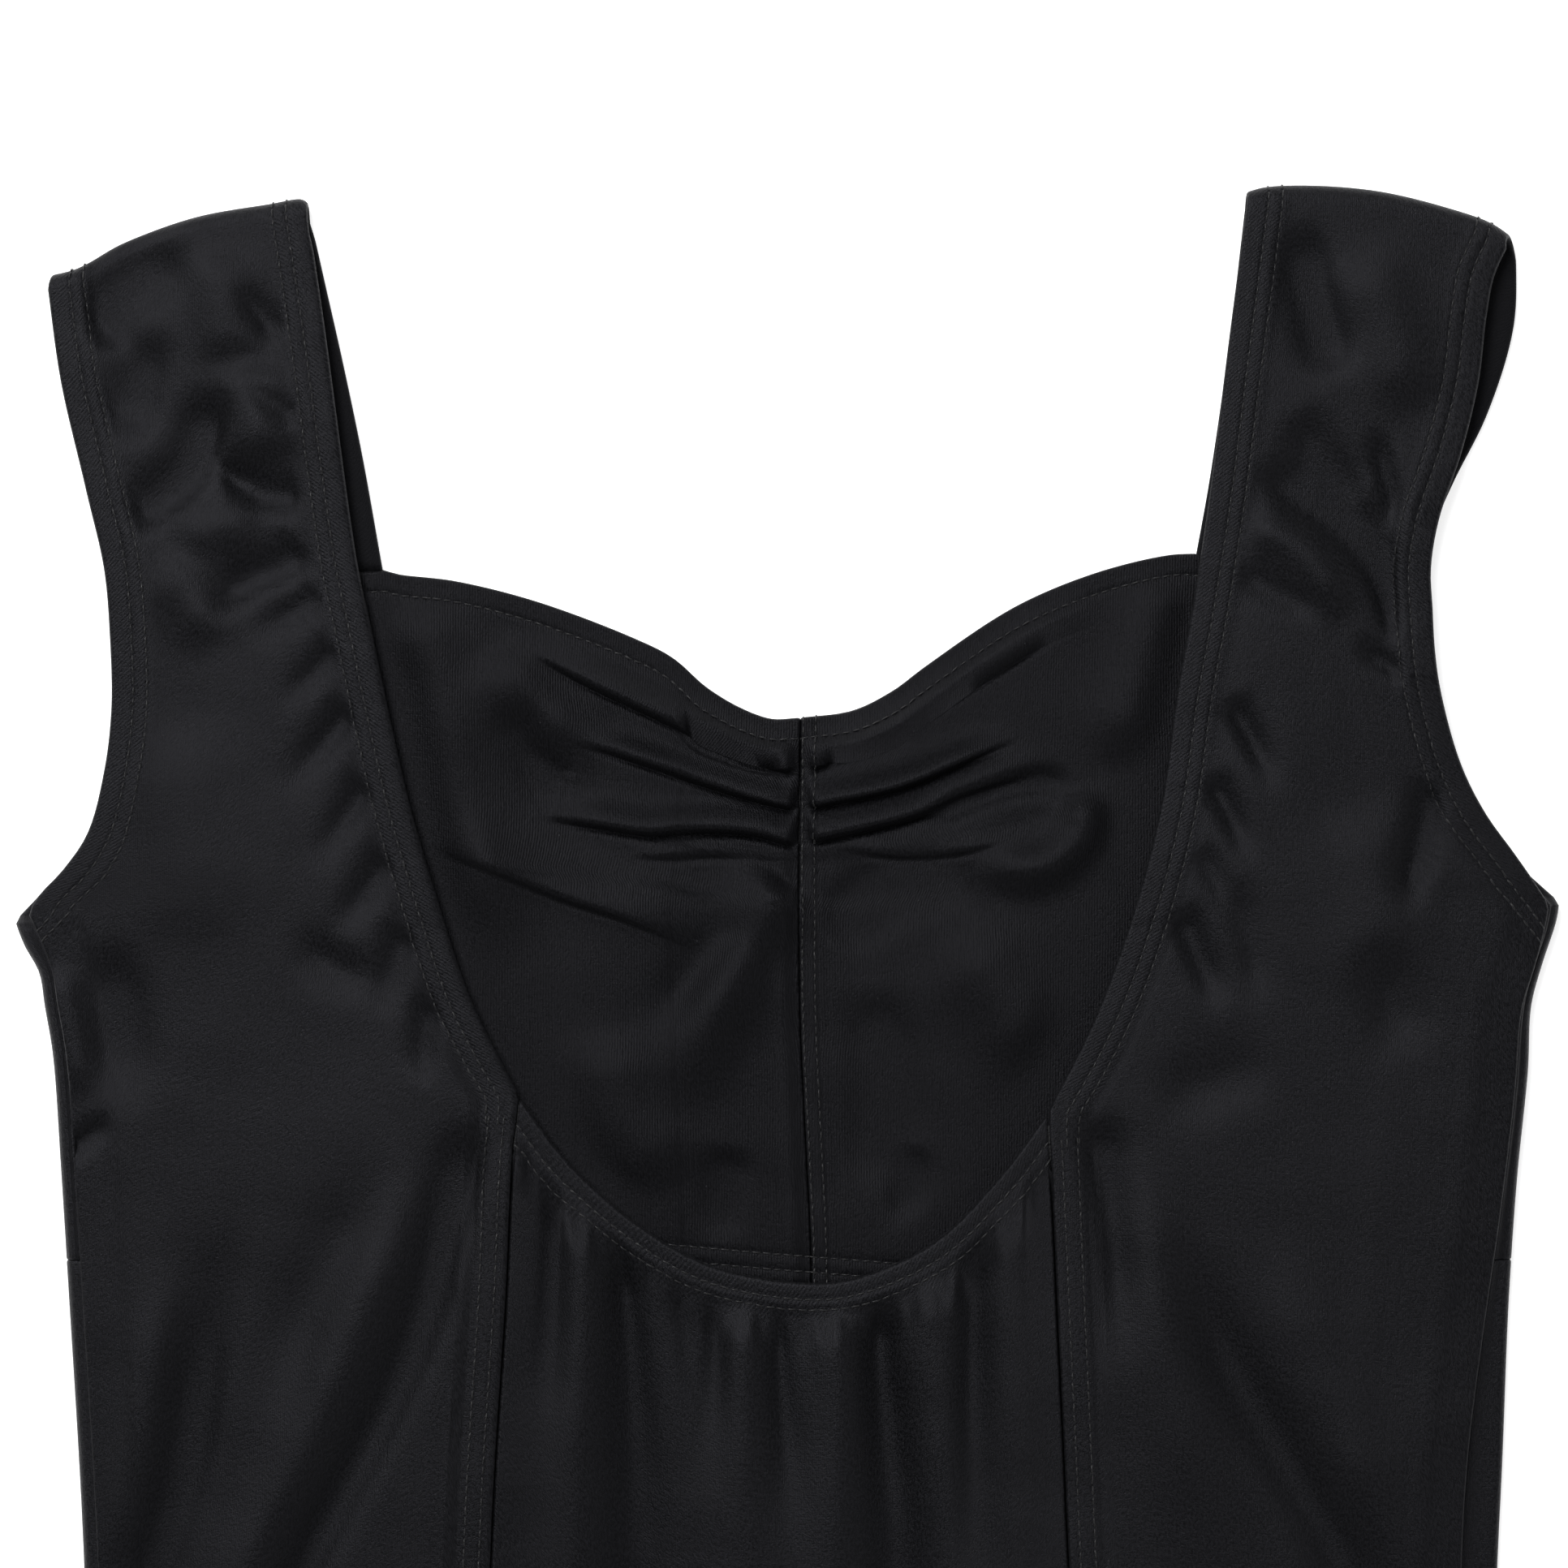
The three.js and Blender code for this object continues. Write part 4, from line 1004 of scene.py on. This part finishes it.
def finishFront(side, middle, hemShare, extra, hemmed):
    # one of top and bottom is hemmed and the other is sewn into a seam
    topBand, bottomBand = (frontHemBand, frontSeamBand) if hemmed == "top" else (frontSeamBand, frontHemBand)
    p = Panel(middle, -1, np.full(middle.shape[:2], farAway), middle[..., 1])
    p.out = normals(middle)
    if p.out[:, extra + 6:-extra - 6, 2].mean() > 0:
        p.out = -p.out
    p.extra = extra
    p.keepFlat(top=topBand, bottom=bottomBand, outer=frontFlat(side))
    p.turnUnder(otherSide[side], cloth["seamRoll"], frontBase["seamReturn"])
    p.turnUnder(side, lerp(cloth["seamRoll"], 0.2, hemShare), lerp(4.0, 0.8, hemShare))
    for edge in ("top", "bottom"):
        kind = "hem" if edge == hemmed else "seam"
        p.turnUnder(edge, cloth[kind + "Roll"], frontBase[kind + "Return"])
    return p


frontBust = dict(rows=78, across=64, underbust=265.0,
                 strapSeam=dict(left=[(-157, 95.6), (-130, 95.0), (-100, 94.6)],
                                right=[(101, 91.0), (128, 92.6), (157, 94.4)]))


def bustTop(side, strapSeam):
    # the strap seam and this side's half of the neckline
    halfNeck = [k for k in neckline if (k[0] <= 3 if side == "left" else k[0] >= 3)]
    runs = [strapSeam, halfNeck] if side == "left" else [halfNeck, strapSeam]
    return Edge(*runs, upright=False)


def frontBustPanel(side):
    centre = Edge(centreSeam)
    outline = Edge(frontArmhole[side], sideOutline[side])
    seam = Edge(frontArmhole[side][:-1] + [sideSeam[side][0]], sideSeam[side])
    top, bottom = bustTop(side, frontBust["strapSeam"][side]), Plain(frontBust["underbust"])
    rows = spacings(frontHemBand, frontSeamBand, frontBust["rows"])
    tip = atDrop(frontArmhole[side][-1][1])
    shaped = frontPanel(side, centre, outline, seam, top, bottom, rows, frontBust["across"], tip)
    return finishFront(side, *shaped, hemmed="top")


def frontSidePanel(side):
    sign = signOf[side]
    foot = tuple(legCurve(legFrontHandles, side, 0.55, 0.55)[0])
    inner = Edge([(sign * x, d) for x, d in princessFront] + [foot])
    outline = Edge([k for k in sideOutline[side] if k[1] > 225])
    seam = Edge([k for k in sideSeam[side] if k[1] > 220])
    leg = Edge(legCurve(legFrontHandles, side, 0, 0.55), upright=False)
    rows = spacings(frontSeamBand, frontHemBand, 90)
    top = Plain(frontBust["underbust"])
    shaped = frontPanel(side, inner, outline, seam, top, leg, rows, frontBase["across"])
    return finishFront(side, *shaped, hemmed="bottom")


def frontCenterPanel():
    foot = legCurve(legFrontHandles, "right", 0.55, 0.55)[0]
    knots = princessFront + [tuple(foot)]
    left, right = Edge([(-x, d) for x, d in knots]), Edge(knots)
    seamLine = [(-38, 628), (-12, 628), (12, 628), (38, 628)]
    bottom = Edge(legCurve(legFrontHandles, "left", 0.55, 1), seamLine,
                  legCurve(legFrontHandles, "right", 0.55, 1)[::-1], upright=False)
    columns = spacings(seamBand, seamBand, 48)
    rows = spacings(frontSeamBand, frontHemBand, 110)
    x, y = spread(left, right, Plain(frontBust["underbust"]), bottom, columns, rows)
    middle = np.stack([x, y, layerHeight["front"] + 0 * x], axis=2)
    p = Panel(middle, -1, np.full(x.shape, farAway), y)
    p.keepFlat(bottom=frontHemBand)
    for edge in ("left", "right", "top"):
        p.turnUnder(edge, cloth["seamRoll"], frontBase["seamReturn"])
    p.turnUnder("bottom", cloth["hemRoll"], frontBase["hemReturn"])
    return p


# Bust lining, seen through the scoop

lining = dict(across=100, rows=225, edgeReturn=4.5, inset=2.4,
              strapSeam=dict(left=[(-157, 96.6), (-130, 95.6), (-100, 94.9)],
                             right=[(101, 91.2), (128, 93.4), (157, 95.4)]))
liningFoot = [(-180, 262), (-60, 266), (0, 270.8), (60, 275), (180, 278)]
liningTopBand = [0.75, 1.2, 1.8, 2.6, 3.4, 4.2, 4.8, 5.2, 5.6, 6.0, 6.8, 8.0, bandEnd]
necklineRow, underbustRows = 5.2, (3.1, 6.9)   # stitch rows, from the edge they follow
liningFootBand = [0.6, 1.6, 2.6, 3.1, 3.6, 5.0, 6.4, 6.9, 7.4, 9.0, bandEnd]


def bustLining(side):
    sign = signOf[side]
    centre = Edge(centreSeam)
    outer = Edge([(x - sign * lining["inset"], d) for x, d in frontArmhole[side]],
                 [(x - sign * lining["inset"] * 1.4, d) for x, d in sideOutline[side] if d < 300])
    top, bottom = bustTop(side, lining["strapSeam"][side]), Edge(liningFoot, upright=False)
    columns = spacings(seamBand, seamBand, lining["across"])
    rows = spacings(liningTopBand, liningFootBand, lining["rows"])
    left, right = (outer, centre) if side == "left" else (centre, outer)
    x, y = spread(left, right, top, bottom, columns, rows)
    z = liningHeight(x, y) - groove(fromStart(rows)[:, None], necklineRow)
    for row in underbustRows:
        z = z - groove(fromEnd(rows)[:, None], row)
    if side == "right":
        fromSeam = fromStart(columns)[None, :]
        z = z + 0.4 * (1 - smooth(3.0, 4.6, fromSeam)) - groove(fromSeam, 3.6, 0.25)
    middle = np.stack([x, y, z], axis=2)
    p = Panel(middle, 1, np.full(x.shape, farAway), y)
    p.keepFlat(left=seamBand, right=seamBand, top=liningTopBand, bottom=liningFootBand)
    for edge in ("left", "right", "top", "bottom"):
        p.turnUnder(edge, cloth["liningRoll"], lining["edgeReturn"])
    return p


# Gusset

def backHeightAt(x, y):
    return backHeight(np.array([x]), np.array([y]))[0]


def gussetLayer(inset, depth, frontOverlap, steps=12):
    g = gussetSize
    zFront, foldY = layerHeight["front"] + depth, atDrop(gussetSize["foldDrop"])
    stations = []
    for t in np.linspace(0, 1, 26):
        drop = lerp(g["frontDrop"] - frontOverlap, g["foldDrop"], t)
        stations.append((lerp(g["frontHalf"], g["foldHalf"], smooth(0, 1, t)), atDrop(drop), zFront))
    top = backHeightAt(0.0, foldY) - depth
    for k in range(1, steps):
        phi = -math.pi / 2 + math.pi * k / steps
        stations.append((g["foldHalf"], foldY - (g["turn"] - depth) * math.cos(phi),
                         lerp(zFront, top, (math.sin(phi) + 1) / 2)))
    for t in np.linspace(0, 1, 20):
        y = lerp(foldY, atDrop(g["backDrop"]), t)
        stations.append((lerp(g["foldHalf"], g["backHalf"], smooth(0, 1, t)), y, backHeightAt(0.0, y) - depth))
    half = np.array([s[0] for s in stations]) - inset
    edge = 1 - np.array(frontHemBand[:-1]) / g["foldHalf"]
    u = np.concatenate([-edge, np.linspace(-0.6, 0.6, 20), edge[::-1]])
    x = half[:, None] * u[None, :]
    y = np.array([s[1] for s in stations])[:, None] + 0 * x
    z = np.array([s[2] for s in stations])[:, None] + 0 * x
    middle = np.stack([x, y, z], axis=2)
    p = Panel(middle, -1, np.full(x.shape, farAway), y)
    p.out = normals(middle)
    if p.out[:10, :, 2].mean() > 0:
        p.out = -p.out
    p.keepFlat(left=frontHemBand[:-1], right=frontHemBand[:-1])
    return p


def gussetPanel():
    p = gussetLayer(0, 0, 0)
    for edges, roll, width in ((("left", "right"), "hemRoll", 8.5), (("top", "bottom"), "seamRoll", 4.0)):
        for edge in edges:
            p.turnUnder(edge, cloth[roll], width)
    return p


# Elastic tapes inside the hems

def edgeLine(panel, side, distance, picked=None, skip=0):
    # points and normals on a panel at a distance from one of its edges, row after row along that edge
    middle, out = panel.base[0], panel.base[1]
    if side in ("top", "bottom"):
        middle, out = np.swapaxes(middle, 0, 1), np.swapaxes(out, 0, 1)
    if side in ("right", "bottom"):
        middle, out = middle[:, ::-1], out[:, ::-1]
    band = panel.bands["outer" if skip else side]
    points, facing = [], []
    for r in (range(len(middle)) if picked is None else picked):
        line, n = middle[r, skip:skip + len(band)], out[r, skip:skip + len(band)]
        at = distance(line[0]) if callable(distance) else distance
        points.append([np.interp(at, band, line[:, k]) for k in range(3)])
        facing.append([np.interp(at, band, n[:, k]) for k in range(3)])
    return np.array(points), unit(np.array(facing))


def tapeStations(panel, side, picked=None, skip=0, start=1.5, end=9.0, depth=None, count=5):
    depth = cloth["hemRoll"] if depth is None else depth
    lines = []
    for distance in np.linspace(start, end, count):
        points, facing = edgeLine(panel, side, distance, picked, skip)
        lines.append(points - facing * depth)
    return np.stack(lines, axis=1)


def tapeMesh(name, stations):
    stations = np.asarray(stations)
    run = runAlong(stations[:, 0])
    grain = np.stack([np.broadcast_to(np.linspace(0, 9, stations.shape[1]), stations.shape[:2]),
                      np.broadcast_to(run[:, None], stations.shape[:2])], axis=2)
    up = np.zeros_like(stations) + np.array([0, 0, 1.0])
    return sheetMesh(name, stations, cloth["elastic"], up, grain, grain, elasticFinish)


# Stitches

stitch = dict(pitch=2.6, length=2.0, thread=0.19, arch=0.16, jitter=0.12)


def stitchShape():
    # one short, slightly arched length of thread that dives at both ends
    half, radius = stitch["length"] / 2, stitch["thread"]
    stations = [(-1.0, -0.9, 0.5), (-0.82, -0.1, 1.0), (-0.3, 0.6, 1.08),
                (0.3, 0.6, 1.08), (0.82, -0.1, 1.0), (1.0, -0.9, 0.5)]
    verts, faces = [], []
    sides = 6
    for along, lift, size in stations:
        for k in range(sides):
            angle = 2 * math.pi * k / sides
            verts.append((along * half * metre, math.cos(angle) * radius * size * metre,
                          (lift * stitch["arch"] + math.sin(angle) * radius * size) * metre))
    for i in range(len(stations) - 1):
        for k in range(sides):
            a, b = i * sides + k, i * sides + (k + 1) % sides
            faces.append((a, b, b + sides, a + sides))
    faces.append(tuple(range(sides))[::-1])
    faces.append(tuple(range((len(stations) - 1) * sides, len(stations) * sides)))
    mesh = bpy.data.meshes.new("one_stitch")
    mesh.from_pydata(verts, [], faces)
    mesh.polygons.foreach_set("use_smooth", np.ones(len(faces), bool))
    mesh.update()
    return bpy.data.objects.new("one_stitch", mesh)


oneStitch = stitchShape()


def stitchTree():
    tree = bpy.data.node_groups.new("stitch_rows", "GeometryNodeTree")
    tree.interface.new_socket("Geometry", in_out="INPUT", socket_type="NodeSocketGeometry")
    for name, value in (("Pitch", stitch["pitch"] * metre), ("Jitter", stitch["jitter"])):
        socket = tree.interface.new_socket(name, in_out="INPUT", socket_type="NodeSocketFloat")
        socket.default_value = value
    tree.interface.new_socket("Stitch", in_out="INPUT", socket_type="NodeSocketObject")
    tree.interface.new_socket("Thread", in_out="INPUT", socket_type="NodeSocketMaterial")
    tree.interface.new_socket("Geometry", in_out="OUTPUT", socket_type="NodeSocketGeometry")

    def add(kind, values=None, **settings):
        made = tree.nodes.new(kind)
        for key, value in settings.items():
            setattr(made, key, value)
        for key, value in (values or {}).items():
            if isinstance(value, bpy.types.NodeSocket):
                tree.links.new(value, made.inputs[key])
            else:
                made.inputs[key].default_value = value
        return made

    given = add("NodeGroupInput")
    curve = add("GeometryNodeMeshToCurve", {"Mesh": given.outputs["Geometry"]})
    spaced = add("GeometryNodeResampleCurve", {
        "Curve": curve.outputs["Curve"], "Length": given.outputs["Pitch"]}, mode="LENGTH")
    heading = add("GeometryNodeInputTangent")
    facing = add("GeometryNodeInputNamedAttribute", {"Name": "facing"}, data_type="FLOAT_VECTOR")
    kept = add("GeometryNodeCaptureAttribute", {"Geometry": spaced.outputs["Curve"]})
    kept.capture_items.new("VECTOR", "Heading")
    kept.capture_items.new("VECTOR", "Facing")
    tree.links.new(heading.outputs["Tangent"], kept.inputs["Heading"])
    tree.links.new(facing.outputs["Attribute"], kept.inputs["Facing"])
    spots = add("GeometryNodeCurveToPoints", {"Curve": kept.outputs["Geometry"]}, mode="EVALUATED")
    turned = add("FunctionNodeAxesToRotation", {
        "Primary Axis": kept.outputs["Facing"], "Secondary Axis": kept.outputs["Heading"]},
        primary_axis="Z", secondary_axis="X")
    sway = add("FunctionNodeRandomValue", {"Seed": 3}, data_type="FLOAT")
    sway.inputs[2].default_value, sway.inputs[3].default_value = -1.0, 1.0
    amount = add("ShaderNodeMath", {0: sway.outputs[1], 1: given.outputs["Jitter"]}, operation="MULTIPLY")
    euler = add("ShaderNodeCombineXYZ", {"Z": amount.outputs[0]})
    asRotation = add("FunctionNodeEulerToRotation", {"Euler": euler.outputs[0]})
    both = add("FunctionNodeRotateRotation", {
        "Rotation": turned.outputs[0], "Rotate By": asRotation.outputs[0]}, rotation_space="LOCAL")
    growth = add("FunctionNodeRandomValue", {"Seed": 8}, data_type="FLOAT")
    growth.inputs[2].default_value, growth.inputs[3].default_value = 0.88, 1.12
    shape = add("GeometryNodeObjectInfo", {"Object": given.outputs["Stitch"]}, transform_space="ORIGINAL")
    placed = add("GeometryNodeInstanceOnPoints", {
        "Points": spots.outputs["Points"], "Instance": shape.outputs["Geometry"],
        "Rotation": both.outputs[0], "Scale": growth.outputs[1]})
    solid = add("GeometryNodeRealizeInstances", {"Geometry": placed.outputs[0]})
    finished = add("GeometryNodeSetMaterial", {
        "Geometry": solid.outputs[0], "Material": given.outputs["Thread"]})
    add("NodeGroupOutput", {"Geometry": finished.outputs[0]})
    return tree


stitchRowsTree = stitchTree()


def socketCalled(tree, name):
    return next(item.identifier for item in tree.interface.items_tree
                if item.item_type == "SOCKET" and item.in_out == "INPUT" and item.name == name)


def stitchRow(panel, side, distance, picked=None, lift=0.10, thickness=None):
    points, facing = edgeLine(panel, side, distance, picked)
    return points + facing * ((thickness or cloth["shell"]) / 2 + lift), facing


def pastTheTip(side, row):
    # carries an armhole row straight on until it reaches the side seam
    points, facing = row
    heading = unit(points[-1] - points[-5])
    seam = Edge(sideSeam[side])
    added = []
    for k in range(1, 40):
        x, y = (points[-1] + heading * k * 0.5)[:2]
        if abs(x) > abs(seam.at(y)) - 1.2:
            break
        added.append((x, y, backHeightAt(x, y) + 0.35 + cloth["shell"] / 2 + 0.1))
    if not added:
        return row
    return np.concatenate([points, added]), np.concatenate([facing, np.tile([0, 0, 1.0], (len(added), 1))])


def sewn(name, rows):
    # rows is a list of (points, normals); the result is one mesh of thread
    verts = np.concatenate([points for points, _ in rows]) * metre
    facing = np.concatenate([normal for _, normal in rows])
    edges, start = [], 0
    for points, _ in rows:
        edges += [(start + k, start + k + 1) for k in range(len(points) - 1)]
        start += len(points)
    mesh = bpy.data.meshes.new(name)
    mesh.from_pydata(verts.tolist(), edges, [])
    carried = mesh.attributes.new("facing", "FLOAT_VECTOR", "POINT")
    carried.data.foreach_set("vector", facing.astype(np.float32).ravel())
    guide = bpy.data.objects.new(name + "_guide", mesh)
    bpy.context.scene.collection.objects.link(guide)
    rowsModifier = guide.modifiers.new("stitches", "NODES")
    rowsModifier.node_group = stitchRowsTree
    settings = dict(Pitch=stitch["pitch"] * metre, Jitter=stitch["jitter"],
                    Stitch=oneStitch, Thread=threadFinish)
    for socketName, value in settings.items():
        rowsModifier[socketCalled(stitchRowsTree, socketName)] = value
    depsgraph = bpy.context.evaluated_depsgraph_get()
    solid = bpy.data.meshes.new_from_object(guide.evaluated_get(depsgraph))
    solid.name = name
    bpy.data.objects.remove(guide)
    solid.polygons.foreach_set("use_smooth", np.ones(len(solid.polygons), bool))
    piece = bpy.data.objects.new(name, solid)
    bpy.context.scene.collection.objects.link(piece)
    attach(piece, "root")
    print(f"{name}: {sum(len(f.vertices) - 2 for f in solid.polygons)} triangles")


# Making the garment

def place(piece, slotName, node):
    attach(piece, "root")
    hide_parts(node)


sides = ("left", "right")
panels = {}
for side in sides:
    panels["back_side_" + side] = backSidePanel(side)
    panels["front_bust_" + side] = frontBustPanel(side)
    panels["front_side_" + side] = frontSidePanel(side)
    panels["bust_lining_" + side] = bustLining(side)
panels["back_center"] = backCenterPanel()
panels["front_center"] = frontCenterPanel()
panels["gusset"] = gussetPanel()
print("panels shaped")


def addSheet(cut, ending=""):
    # the ending is the side, for a panel that comes in pairs
    if "lining" in cut:
        thickness, finish, slotName, node = cloth["lining"], liningFinish, "lining_knit", cut + ending
    else:
        thickness, finish, slotName, node = cloth["shell"], shellFinish, "shell_knit", cut + "_panel" + ending
    piece = pieceFrom(cut + "_cloth" + ending, panels[cut + ending], thickness, finish)
    place(piece, slotName, node)


for cut in ("back_center", "front_center", "gusset"):
    addSheet(cut)
for side in sides:
    for cut in ("back_side", "front_bust", "front_side", "bust_lining"):
        addSheet(cut, "_" + side)
panels["gusset_lining"] = gussetLayer(9.5, 1.6, 18)
panels["gusset_lining"].turnUnder("top", 0.2, 1.5)
addSheet("gusset_lining")
print("cloth pieces made")


def where(panel, side, test):
    # the stations along an edge whose first point passes a test
    base = panel.base[0]
    first = dict(top=base[0], bottom=base[-1], left=base[:, 0], right=base[:, -1])[side]
    return [k for k, point in enumerate(first) if test(point)]


def addTape(name, stations, node):
    place(tapeMesh(name, stations), "hem_elastic", node)


def neckRun(side):
    panel = panels["back_side_" + side]
    return tapeStations(panel, otherSide[side], range(1, panel.junctionRow - 1, 2))


centre, frontCentre = panels["back_center"], panels["front_center"]
alongScoop = tapeStations(centre, "top", range(2, centre.base[0].shape[1] - 2, 2))
neckTape = np.concatenate([neckRun("left"), alongScoop, neckRun("right")[::-1]])
addTape("neck_elastic_tape", neckTape, "neck_elastic")
for side in sides:
    backPanel, bust, frontSide = [panels[cut + "_" + side] for cut in ("back_side", "front_bust", "front_side")]
    armRows = range(1, backPanel.tipRow - 1, 2)
    tipY = atDrop(frontArmhole[side][-1][1])
    headCol = bust.base[0][:, bust.extra if side == "left" else -1 - bust.extra]
    bustRows = [k for k, point in enumerate(headCol) if k > 3 and point[1] > tipY + 4]
    backRun = tapeStations(backPanel, side, armRows)[::-1]
    frontRun = tapeStations(bust, side, bustRows[::2], skip=bust.extra)
    addTape(f"armhole_elastic_tape_{side}", np.concatenate([backRun, frontRun]), f"armhole_elastic_{side}")
    neckCols = where(bust, "top", lambda p: abs(p[0] - 1) < 99 and abs(p[0] - 3.2) > 2)[::2]
    addTape(f"neckline_elastic_tape_{side}", tapeStations(bust, "top", neckCols), f"neckline_elastic_{side}")
    legBack = where(backPanel, "bottom", lambda p: True)[2:-2:2]
    legCentre = where(centre, "bottom", lambda p: p[0] * signOf[side] > 42)[1:-1:2]
    legFrontCentre = where(frontCentre, "bottom", lambda p: p[0] * signOf[side] > 41)[1:-1:2]
    width = frontSide.base[0].shape[1]
    if side == "right":
        legBack, legCentre = legBack[::-1], legCentre[::-1]
        flatCols = range(2, width - frontSide.extra - 2, 2)
    else:
        legFrontCentre = legFrontCentre[::-1]
        flatCols = range(frontSide.extra + 2, width - 2, 2)[::-1]
    gussetRows = range(len(panels["gusset"].base[0]) - 3, 3, -2)
    legRun = np.concatenate([
        tapeStations(backPanel, "bottom", legBack), tapeStations(centre, "bottom", legCentre),
        tapeStations(panels["gusset"], side, gussetRows),
        tapeStations(frontCentre, "bottom", legFrontCentre), tapeStations(frontSide, "bottom", flatCols)])
    addTape(f"leg_elastic_tape_{side}", legRun, f"leg_elastic_{side}")

liningRight = panels["bust_lining_right"]
liningDepth = 1.35   # the tape lies on the wrong side of the lining
footCols = range(3, liningRight.base[0].shape[1] - 3, 3)
footRuns = [tapeStations(panels["bust_lining_" + side], "bottom", footCols,
                         start=1.0, end=11.0, depth=liningDepth) for side in sides]
addTape("underbust_elastic_tape", np.concatenate(footRuns), "underbust_elastic")
seamRows = where(liningRight, "left", lambda p: 146 < topY - p[1] < 183)
gatherRun = tapeStations(liningRight, "left", seamRows, start=0.7, end=3.4, depth=liningDepth)
gatherRun = np.concatenate([gatherRun[:, :1] - np.array([2.4, 0, 0]), gatherRun], axis=1)
addTape("center_gather_tape_strip", gatherRun, "center_gather_tape")
print("tapes laid in the hems")

# how far each row of stitches lies from the edge or seam it follows
hemRows, princessRows, centreSeamRows = (5.4, 8.8), (3.2, 6.9), (0.75, 3.7)


def scaled(row):
    return lambda point: row * hemScaleAt(point[1])


for side in sides:
    panel = panels["back_side_" + side]
    hem, body = range(0, panel.junctionRow + 1), range(panel.junctionRow, len(panel.base[0]) - 6)
    legCols = range(2, panel.base[0].shape[1] - 2)
    centreCols = where(centre, "bottom", lambda p: p[0] * signOf[side] > 41)
    sewn(f"scoop_stitches_{side}", [stitchRow(panel, otherSide[side], scaled(row), hem) for row in hemRows])
    sewn(f"armhole_stitches_{side}",
         [pastTheTip(side, stitchRow(panel, side, row, range(0, panel.tipRow))) for row in hemRows])
    sewn(f"princess_stitches_{side}", [stitchRow(panel, otherSide[side], row, body) for row in princessRows])
    sewn(f"leg_stitches_{side}", [stitchRow(panel, "bottom", row, legCols) for row in hemRows]
         + [stitchRow(centre, "bottom", row, centreCols) for row in hemRows])
sewn("scoop_stitches_center", [stitchRow(centre, "top", scaled(row)) for row in hemRows])
alongNeck, alongFoot = [], []
for side in sides:
    panel = panels["bust_lining_" + side]
    neckCols = where(panel, "top", lambda p: abs(p[0] - 1) < 104 and abs(p[0] - 3.2) > 1.0)
    alongNeck.append(stitchRow(panel, "top", necklineRow, neckCols, thickness=cloth["lining"]))
    alongFoot += [stitchRow(panel, "bottom", row, thickness=cloth["lining"]) for row in underbustRows]
sewn("neckline_stitches", alongNeck)
sewn("center_seam_stitches",
     [stitchRow(liningRight, "left", row, thickness=cloth["lining"], lift=0.14) for row in centreSeamRows])
sewn("underbust_stitches", alongFoot)
print("stitches sewn")


# Camera, light and floor

view = dict(centreX=-0.8, centreY=197.4, frameWidth=386.4, height=1600, sensor=36.0, subject=6.0)
cameraData = bpy.data.cameras.new("camera")
cameraData.sensor_width = view["sensor"]
cameraData.lens = view["sensor"] * (view["height"] - view["subject"]) / view["frameWidth"]
cameraData.clip_start, cameraData.clip_end = 0.05, 20
camera = bpy.data.objects.new("camera", cameraData)
camera.location = (view["centreX"] * metre, view["centreY"] * metre, view["height"] * metre)
bpy.context.scene.collection.objects.link(camera)
bpy.context.scene.camera = camera

lights = dict(
    key=dict(at=(-0.62, 0.98, 1.55), aim=(0, 0.15, 0), size=(0.9, 0.9), power=28.8),
    overhead=dict(at=(0.1, 0.1, 2.1), aim=(0, 0.1, 0), size=(1.6, 1.6), power=2.5),
    fill=dict(at=(1.4, -0.4, 1.2), aim=(0, 0.1, 0), size=(1.0, 1.0), power=3),
)
for name, lamp in lights.items():
    data = bpy.data.lights.new(name, "AREA")
    data.shape = "RECTANGLE"
    data.size, data.size_y = lamp["size"]
    data.energy = lamp["power"]
    light = bpy.data.objects.new(name, data)
    light.location = lamp["at"]
    light.rotation_mode = "QUATERNION"
    light.rotation_quaternion = (Vector(lamp["aim"]) - Vector(lamp["at"])).to_track_quat("-Z", "Y")
    bpy.context.scene.collection.objects.link(light)

world = bpy.data.worlds.new("studio")
world.use_nodes = True
sky = world.node_tree
backdrop = sky.nodes["Background"]
backdrop.inputs["Color"].default_value = (1, 1, 1, 1)
heading = sky.nodes.new("ShaderNodeTexCoord")
upward = sky.nodes.new("ShaderNodeSeparateXYZ")
strength = sky.nodes.new("ShaderNodeMapRange")
for name, value in (("From Min", 0.05), ("From Max", 0.6), ("To Min", 0.95), ("To Max", 0.08)):
    strength.inputs[name].default_value = value
sky.links.new(heading.outputs["Generated"], upward.inputs["Vector"])
sky.links.new(upward.outputs["Z"], strength.inputs["Value"])
sky.links.new(strength.outputs["Result"], backdrop.inputs["Strength"])
bpy.context.scene.world = world
bpy.context.scene.view_settings.view_transform = "Standard"
bpy.context.scene.view_settings.look = "None"

floorSize, floorDrop = 3.0, 0.0002   # in metres; the floor is drawn a little below z = 0
corners = [(-floorSize, -floorSize), (floorSize, -floorSize), (floorSize, floorSize), (-floorSize, floorSize)]
floorMesh = bpy.data.meshes.new("floor")
floorMesh.from_pydata([(x, y, -floorDrop) for x, y in corners], [], [(0, 1, 2, 3)])
floor = bpy.data.objects.new("floor", floorMesh)
bpy.context.scene.collection.objects.link(floor)
paper = Shader("white_floor")
floorMesh.materials.append(paper.finish({
    "Base Color": (0.9, 0.9, 0.9, 1), "Roughness": 0.9, "Specular IOR Level": 0.1,
    "Emission Color": (1, 1, 1, 1), "Emission Strength": 0.68}))
